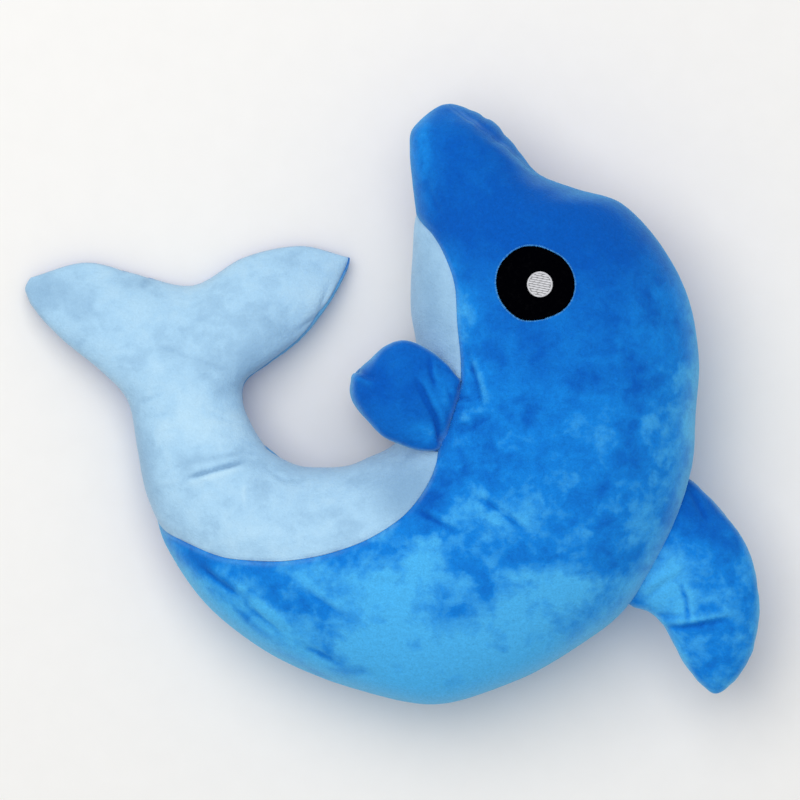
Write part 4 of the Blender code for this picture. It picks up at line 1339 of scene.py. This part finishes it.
class FabricSizes(bpy.types.PropertyGroup):
    cloth_thickness: length_property("Cloth thickness", "Pile fabric with its backing", 1.6, 0.5, 4)
    seam_slit: length_property("Seam slit", "Gap between two panels at a seam", 0.12, 0.05, 1)
    groove_depth: length_property("Groove depth", "How deep the stitches draw the seam", 0.9, 0, 3)
    groove_width: length_property("Groove width", "Half width of the drawn groove", 1.3, 0.3, 5)
    pucker_height: length_property("Pucker height", "Height of the small puckers beside a seam",
                                   0.3, 0, 2)
    pucker_spacing: length_property("Pucker spacing", "Length of one pucker along the seam",
                                    9, 3, 40)
    lump_height: length_property("Lump height", "Unevenness of the filling felt through the fabric",
                                 0.9, 0, 4)
    root_pleat: length_property("Root pleats", "Height of the pleats where a fin is sewn on",
                                0.5, 0, 3)
    root_pull: length_property("Root pull", "How far a fin is drawn in where it is sewn on",
                               0.4, 0, 4)
    filling_clearance: length_property("Filling clearance", "Room between the fabric and the fibre",
                                       2.2, 0.5, 6)
    swell_cap: length_property("Swell cap", "The most that the simulation may move the fabric",
                               6, 0, 20)
    stuffing_pressure: number_property("Stuffing pressure", "Pressure in the cloth simulation",
                                       4.0, 0, 20)
    slack: number_property("Slack", "How much too long the cloth is cut for its seams", 0.03, 0, 0.2)
    pucker_share: number_property("Pucker share", "How much of the simulated puckers is kept",
                                  0.8, 0, 2)
    fin_unrest: number_property("Fin unrest", "How much of its puckers a fin keeps", 0.3, 0, 2)


class EmbroiderySizes(bpy.types.PropertyGroup):
    row_spacing: length_property("Row spacing", "Distance between the rows of the pupil", 1.4, 0.4, 4)
    stitch_length: length_property("Stitch length", "Length of one stitch of the pupil", 4.6, 1, 10)
    thread_width: length_property("Thread width", "Width of the thread in the pupil", 1.24, 0.2, 3)
    rim_width: length_property("Rim width", "Width of the satin rim round the pupil", 1.3, 0.3, 4)
    root_pitch: length_property("Root stitch pitch", "Distance between stitches at a fin's root",
                                3.4, 1, 12)
    slant: FloatProperty(name="Slant", description="Slope of the pupil's rows",
                         default=math.radians(-11), subtype="ANGLE", unit="ROTATION")
    seed: IntProperty(name="Seed", description="Unevenness of the stitches", default=4, min=0)


def colour_property(name, description, red, green, blue):
    return FloatVectorProperty(name=name, description=description, subtype="COLOR_GAMMA", size=3,
                               min=0, max=1, default=(red / 255, green / 255, blue / 255))


class PlushColours(bpy.types.PropertyGroup):
    # The deep and bright stops also carry painted shade and painted light
    blue_deep: colour_property("Deep blue", "Blue pile brushed against the light", 4, 88, 184)
    blue_plain: colour_property("Blue", "Blue pile", 20, 130, 220)
    blue_bright: colour_property("Bright blue", "Blue pile brushed towards the light", 76, 180, 240)
    # Painted sheen: the pale tint that the blue pile's steep sides and seam lines blend towards
    blue_painted_sheen: colour_property("Blue tips", "Tips of the blue pile seen from the side", 148, 193, 217)
    pale_deep: colour_property("Shaded light blue", "Light pile brushed against the light",
                               138, 177, 209)
    pale_plain: colour_property("Light blue", "Light blue pile", 172, 212, 239)
    pale_bright: colour_property("Bright light blue", "Light pile brushed to the light", 190, 225, 245)
    # Painted shade: the grey tint that the light pile's steep sides and seam lines blend towards
    pale_painted_side_shade: colour_property("Light blue tips", "Tips of the light pile from the side", 158, 190, 214)
    # Lighter than the blue pile: the tufts are real, their paleness is painted sheen
    eye_edge_sheen: colour_property("Eye edge", "Pile tufts that stand up round the eye discs", 78, 172, 230)
    thread: colour_property("Pupil thread", "Embroidery thread of the pupils", 226, 225, 228)
    floor: colour_property("Floor", "The surface that the toy lies on", 248, 245, 240)


class StageSizes(bpy.types.PropertyGroup):
    picture_width: length_property("Picture width", "Width of the picture at the toy",
                                   480, 100, 3000)
    lens: number_property("Lens", "Focal length in millimetres", 1200, 20, 2000)
    key_power: number_property("Key light", "Power of the large soft light in watts", 27, 0, 500)
    sky: number_property("Sky", "Strength of the light from all round", 0.6, 0, 3)


class PLUSH_OT_body(bpy.types.Operator):
    """Sew and fill the body: two blue side panels and the light belly panel"""
    bl_idname = "plush.body"
    bl_label = "Body"

    def execute(self, context):
        sizes = context.scene.plush_fabric
        colours = context.scene.plush_colours
        body = body_pouch()
        end = body.rib_where_half(body.last - 0.5, body.last, 0.3 * MM)
        stations = body.stations(BODY_ROWS, 0.02, end)
        chin = np.argmax(stations > CHIN + 0.03)
        seams = [back_seam, near_seam, far_seam]
        puckers = [None, None, None]
        settled = stations[np.rint(np.linspace(0, BODY_ROWS, SETTLE_ROWS + 1)).astype(int)]
        puckers = swollen(body, settled, seams, SETTLE_COLUMNS, sizes)
        gap = sizes.seam_slit / 2
        blue = blue_finish(colours)
        pale = light_blue_finish(colours)

        def edge(seam, s, turns, side):
            return body.beside(s, seam(s) + turns * FULL_TURN, side * gap)

        s = stations
        near = sewn_panel(body, s, edge(back_seam, s, 0, 1), edge(near_seam, s, 0, -1),
                          NEAR_COLUMNS, sizes, (1, 2), puckers[0])
        near = raised_round_eye(near)
        far = sewn_panel(body, s, edge(far_seam, s, 0, 1), edge(back_seam, s, 1, -1),
                         FAR_COLUMNS, sizes, (3, 1), puckers[2])
        s = stations[chin:]
        low = edge(near_seam, s, 0, 1)
        high = np.maximum(edge(far_seam, s, 0, -1), low)
        part = puckers[1]
        if part is not None:
            part = part[int(round(chin / BODY_ROWS * SETTLE_ROWS)):]
        belly = sewn_panel(body, s, low, high, BELLY_COLUMNS, sizes, (2, 3), part)
        for name, panel, node in (("near_side_plush", near, "near_side_panel"),
                                  ("far_side_plush", far, "far_side_panel")):
            piece = fabric_piece(name, panel, blue, NAP_AND_LIGHT_DOWN_THE_BODY, BLUE_PATCHES)
            belongs(piece, [node])
        piece = fabric_piece("belly_plush", belly, pale, [(-150, 0.5), (180, 0.5)], PALE_PATCHES)
        belongs(piece, ["belly_panel"])
        inset = sizes.cloth_thickness + sizes.filling_clearance
        thick = body.rib_where_half(body.last - 1.0, body.last, inset + 2 * MM)
        rows = body.stations(170, 0.05, thick)[:, None]
        inner = [c for c in BODY_CREASES if not c.runs_out]
        lump = filling_piece("body_fibre", body, rows, inner, sizes, fibre_finish())
        belongs(lump, ["body_filling"])
        return {"FINISHED"}


def plan_middle(node):
    """The middle of a CAD node in the plan."""
    low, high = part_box(node)
    return np.array([(low.x + high.x) / 2, (low.y + high.y) / 2])


def raised_round_eye(panel):
    """A narrow lip of the blue fabric round the eye disc, where the disc is sewn in."""
    away = panel.outer[..., :2] - plan_middle("near_eye_patch")
    distance = np.linalg.norm(away, axis=-1)
    gap = distance - eye_radius(np.arctan2(away[..., 1], away[..., 0]))
    facing = smoothstep(0.0, 20 * MM, panel.outer[..., 2] - 0.05)
    lip = 0.7 * MM * bell(gap - 1.0 * MM, 1.1 * MM) * facing
    dip = 0.7 * MM * smoothstep(1.0 * MM, -1.0 * MM, gap) * facing
    outer = panel.outer.copy()
    outer[..., 2] += lip - dip
    inner = panel.inner.copy()
    inner[..., 2] -= dip
    return panel._replace(outer=outer, inner=inner)


class PLUSH_OT_dorsal_fin(bpy.types.Operator):
    """Sew and fill the dorsal fin"""
    bl_idname = "plush.dorsal_fin"
    bl_label = "Dorsal fin"

    def execute(self, context):
        look = blue_finish(context.scene.plush_colours)
        sew_fin("dorsal_fin", dorsal_fin_pouch(body_pouch()), FIN_CREASES, NAP_DOWN_THE_FIN,
                FIN_PATCHES, context.scene.plush_fabric, look, 31)
        return {"FINISHED"}


class PLUSH_OT_flippers(bpy.types.Operator):
    """Sew and fill both flippers"""
    bl_idname = "plush.flippers"
    bl_label = "Flippers"

    def execute(self, context):
        look = blue_finish(context.scene.plush_colours)
        body = body_pouch()
        for side, mirrored, creases in (("near", False, FLIPPER_CREASES), ("far", True, [])):
            sew_fin(f"{side}_flipper", flipper_pouch(body, mirrored), creases,
                    [(-40, 0.12), (60, 0.08)], FLIPPER_PATCHES, context.scene.plush_fabric, look,
                    41 + 10 * mirrored)
        return {"FINISHED"}


class PLUSH_OT_eyes(bpy.types.Operator):
    """Sew the black eye discs and embroider their pupils"""
    bl_idname = "plush.eyes"
    bl_label = "Eyes"

    def execute(self, context):
        sizes = context.scene.plush_embroidery
        colours = context.scene.plush_colours
        skin = skin_tree(["near_side_plush", "far_side_plush"])
        black = black_finish()
        thread = thread_finish("pupil_thread", colours.thread, [0.86 * c for c in colours.thread])
        # Grey under the pupil's rows: painted shadow that shows between the threads
        shade = thread_finish("pupil_painted_shadow", [0.62 * c for c in colours.thread],
                              [0.50 * c for c in colours.thread])
        # The tufts round the eye are coloured lighter as painted sheen
        tuft = thread_finish("eye_edge_pile", colours.eye_edge_sheen, colours.blue_plain)
        for side, facing in (("near", 1), ("far", -1)):
            middle = plan_middle(side + "_eye_patch")
            surface = Surface(skin, facing)
            disc = disc_mesh(f"{side}_eye_disc", surface, middle, eye_radius, 0.15 * MM, 0.95 * MM,
                             1.6 * MM, 26, 120, black)
            belongs(disc, [side + "_eye_patch"])
            turn = np.linspace(0, FULL_TURN, 241)
            reach = (eye_radius(turn) + 0.3 * MM)[:, None]
            edge = [surface.at(middle + reach * directions(turn), 0.25 * MM)]
            tufts = stitches(f"{side}_eye_tufts", edge, upright(edge, facing), tuft,
                             Pitch=0.5 * MM, Length=1.7 * MM, Width=0.42 * MM, Height=0.4 * MM,
                             Turn=math.pi / 2, Swing=0.25, Unevenness=0.5, Seed=sizes.seed)
            belongs(placed(f"{side}_eye_tufts", tufts), [])
            low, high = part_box(side + "_eye_pupil")
            pupil = plan_middle(side + "_eye_pupil")
            radius = (high.x - low.x) / 2
            on_disc = Surface(skin_tree([disc.name]), facing)
            # A grey disc under the rows, painted shadow between the threads
            shadow_disc = disc_mesh(f"{side}_pupil_painted_shadow", on_disc, pupil,
                                 lambda turn: 0 * turn + radius - 0.4 * MM, 0.05 * MM, 0.35 * MM,
                                 0.6 * MM, 6, 40, shade)
            rows = self.rows(on_disc, pupil, radius, sizes)
            rim = (radius - sizes.rim_width / 2) * directions(np.linspace(0, FULL_TURN, 97))
            ring = [on_disc.at(pupil + rim, 0.45 * MM)]
            fill = stitches("pupil_rows", rows, upright(rows, facing), thread,
                            Pitch=sizes.stitch_length * 0.55, Length=sizes.stitch_length,
                            Width=sizes.thread_width, Height=0.5 * MM, Unevenness=0.05,
                            Seed=sizes.seed)
            satin = stitches("pupil_rim", ring, upright(ring, facing), thread,
                             Pitch=0.42 * MM, Length=sizes.rim_width, Width=0.52 * MM,
                             Height=0.6 * MM, Turn=math.pi / 2, Swing=0.1, Unevenness=0.08,
                             Seed=sizes.seed)
            piece = joined(f"{side}_eye_embroidery", [shadow_disc.data, fill, satin])
            bpy.data.objects.remove(shadow_disc)
            belongs(piece, [side + "_eye_pupil"])
        return {"FINISHED"}

    @staticmethod
    def rows(surface, pupil, radius, sizes):
        """Lines across the pupil, whose starts shift back and forth a little from row to row."""
        along = np.array([math.cos(sizes.slant), math.sin(sizes.slant)])
        across = np.array([-along[1], along[0]])
        inside = radius - 0.7 * MM
        count = int(inside / sizes.row_spacing)
        lines = []
        for k in range(-count, count + 1):
            offset = k * sizes.row_spacing
            half = math.sqrt(max(inside**2 - offset**2, 0))
            margin = sizes.stitch_length / 2
            shift = (2 * k % 5 - 2) * 0.4 * MM
            start = -half + margin + shift
            end = half - margin + shift
            if end <= start:
                start, end = -0.4 * MM, 0.4 * MM
            reach = np.linspace(start, end, 24)
            plan = pupil + offset * across + reach[:, None] * along
            lines.append(surface.at(plan, 0.40 * MM))
        return lines


class PLUSH_OT_root_stitches(bpy.types.Operator):
    """Stitch the fins on along their roots"""
    bl_idname = "plush.root_stitches"
    bl_label = "Root stitches"

    def execute(self, context):
        sizes = context.scene.plush_embroidery
        colours = context.scene.plush_colours
        body = body_pouch()
        skin = skin_tree(["near_side_plush", "far_side_plush", "belly_plush"])
        thread = thread_finish("blue_thread", colours.blue_bright, colours.blue_plain)
        paths, lays = [], []
        for pouch in (dorsal_fin_pouch(body), flipper_pouch(body, False), flipper_pouch(body, True)):
            angles = once_round(96)
            roots = root_ribs(pouch, skin, angles)
            ring = pouch.skin(roots, angles)
            ring = np.concatenate([ring, ring[:1]])
            out = []
            for place, angle in zip(ring, np.append(angles, 0.0)):
                near, normal = skin.find_nearest(Vector(place))[:2]
                fin_out = pouch.outward(np.array(0.5), np.array(angle))
                away = np.array(normal) * (1 if normal.dot(Vector(place) - near) >= 0 else -1)
                lay = away + fin_out
                out.append(lay / max(np.linalg.norm(lay), 1e-9))
            paths.append(ring + np.array(out) * 0.1 * MM)
            lays.append(np.array(out))
        made = stitches("root_stitches", paths, lays, thread, Pitch=sizes.root_pitch,
                        Length=2.6 * MM, Width=0.5 * MM, Height=0.4 * MM, Turn=math.pi / 2,
                        Swing=0.45, Unevenness=0.2, Seed=sizes.seed)
        belongs(placed("root_stitches", made), [])
        return {"FINISHED"}


class PLUSH_OT_stage(bpy.types.Operator):
    """Set out the pale floor, the soft lights and the camera that looks straight down"""
    bl_idname = "plush.stage"
    bl_label = "Floor, lights and camera"

    def execute(self, context):
        scene = context.scene
        sizes = scene.plush_stage
        finish = Finish("floor_look")
        speck = finish.noise(finish.place, 60, 2.0)
        pale = linear(scene.plush_colours.floor)
        soft = tuple(0.97 * c for c in pale[:3]) + (1.0,)
        look = finish.finished(finish.mix(speck, soft, pale), 0.9, {"Specular IOR Level": 0.1})
        half = 6.0
        corners = [(-half, -half, 0), (half, -half, 0), (half, half, 0), (-half, half, 0)]
        floor = new_piece("floor", corners, [(0, 1, 2, 3)], look)
        self.light("key_light", (-0.4, 0.6, 2.0), 2.0, sizes.key_power)
        self.sky(scene, sizes.sky)
        camera = placed("camera", bpy.data.cameras.new("camera"))
        camera.data.lens = sizes.lens
        camera.data.sensor_width = 36.0
        distance = sizes.picture_width * sizes.lens / camera.data.sensor_width
        camera.data.clip_end = 3 * distance
        camera.location = (5.1 * MM, 2.4 * MM, 50 * MM + distance)
        scene.camera = camera
        scene.view_settings.view_transform = "Standard"
        return {"FINISHED"}

    @staticmethod
    def light(name, place, size, power):
        lamp = bpy.data.lights.new(name, "AREA")
        lamp.size = size
        lamp.energy = power
        obj = placed(name, lamp)
        obj.location = place
        obj.rotation_euler = (-Vector(place)).to_track_quat("-Z", "Y").to_euler()

    @staticmethod
    def sky(scene, strength):
        """Even light from all round, seen by the camera as a pale backdrop."""
        world = bpy.data.worlds.new("sky")
        scene.world = world
        world.use_nodes = True
        tree = world.node_tree
        tree.nodes.clear()
        ray = add_node(tree, "ShaderNodeLightPath", result="Is Camera Ray")
        even = add_node(tree, "ShaderNodeBackground", {}, {
            "Color": (0.93, 0.96, 1.0, 1.0), "Strength": strength})
        seen = add_node(tree, "ShaderNodeBackground", {}, {"Color": (0.90, 0.91, 0.92, 1.0)})
        mix = add_node(tree, "ShaderNodeMixShader", {}, {0: ray, 1: even, 2: seen})
        add_node(tree, "ShaderNodeOutputWorld", {}, {"Surface": mix}, None)


OPERATORS = (PLUSH_OT_body, PLUSH_OT_dorsal_fin, PLUSH_OT_flippers, PLUSH_OT_eyes,
             PLUSH_OT_root_stitches, PLUSH_OT_stage)


class VIEW3D_PT_plush(bpy.types.Panel):
    """The plush dolphin's pieces and sizes"""
    bl_label = "Plush dolphin"
    bl_idname = "VIEW3D_PT_plush"
    bl_space_type = "VIEW_3D"
    bl_region_type = "UI"
    bl_category = "Plush"

    def draw(self, context):
        for operator in OPERATORS:
            self.layout.operator(operator.bl_idname)
        for name in GROUPS:
            group = getattr(context.scene, name)
            box = self.layout.box()
            for key in group.__annotations__:
                box.prop(group, key)


GROUPS = {
    "plush_fabric": FabricSizes,
    "plush_embroidery": EmbroiderySizes,
    "plush_colours": PlushColours,
    "plush_stage": StageSizes,
}


def register():
    for cls in (*GROUPS.values(), *OPERATORS, VIEW3D_PT_plush):
        bpy.utils.register_class(cls)
    for name, cls in GROUPS.items():
        setattr(bpy.types.Scene, name, PointerProperty(type=cls))


def unregister():
    for name in GROUPS:
        delattr(bpy.types.Scene, name)
    for cls in reversed((*GROUPS.values(), *OPERATORS, VIEW3D_PT_plush)):
        bpy.utils.unregister_class(cls)


def main():
    register()
    bpy.ops.plush.body()
    bpy.ops.plush.dorsal_fin()
    bpy.ops.plush.flippers()
    bpy.ops.plush.eyes()
    bpy.ops.plush.root_stitches()
    bpy.ops.plush.stage()


if __name__ == "__main__":
    main()
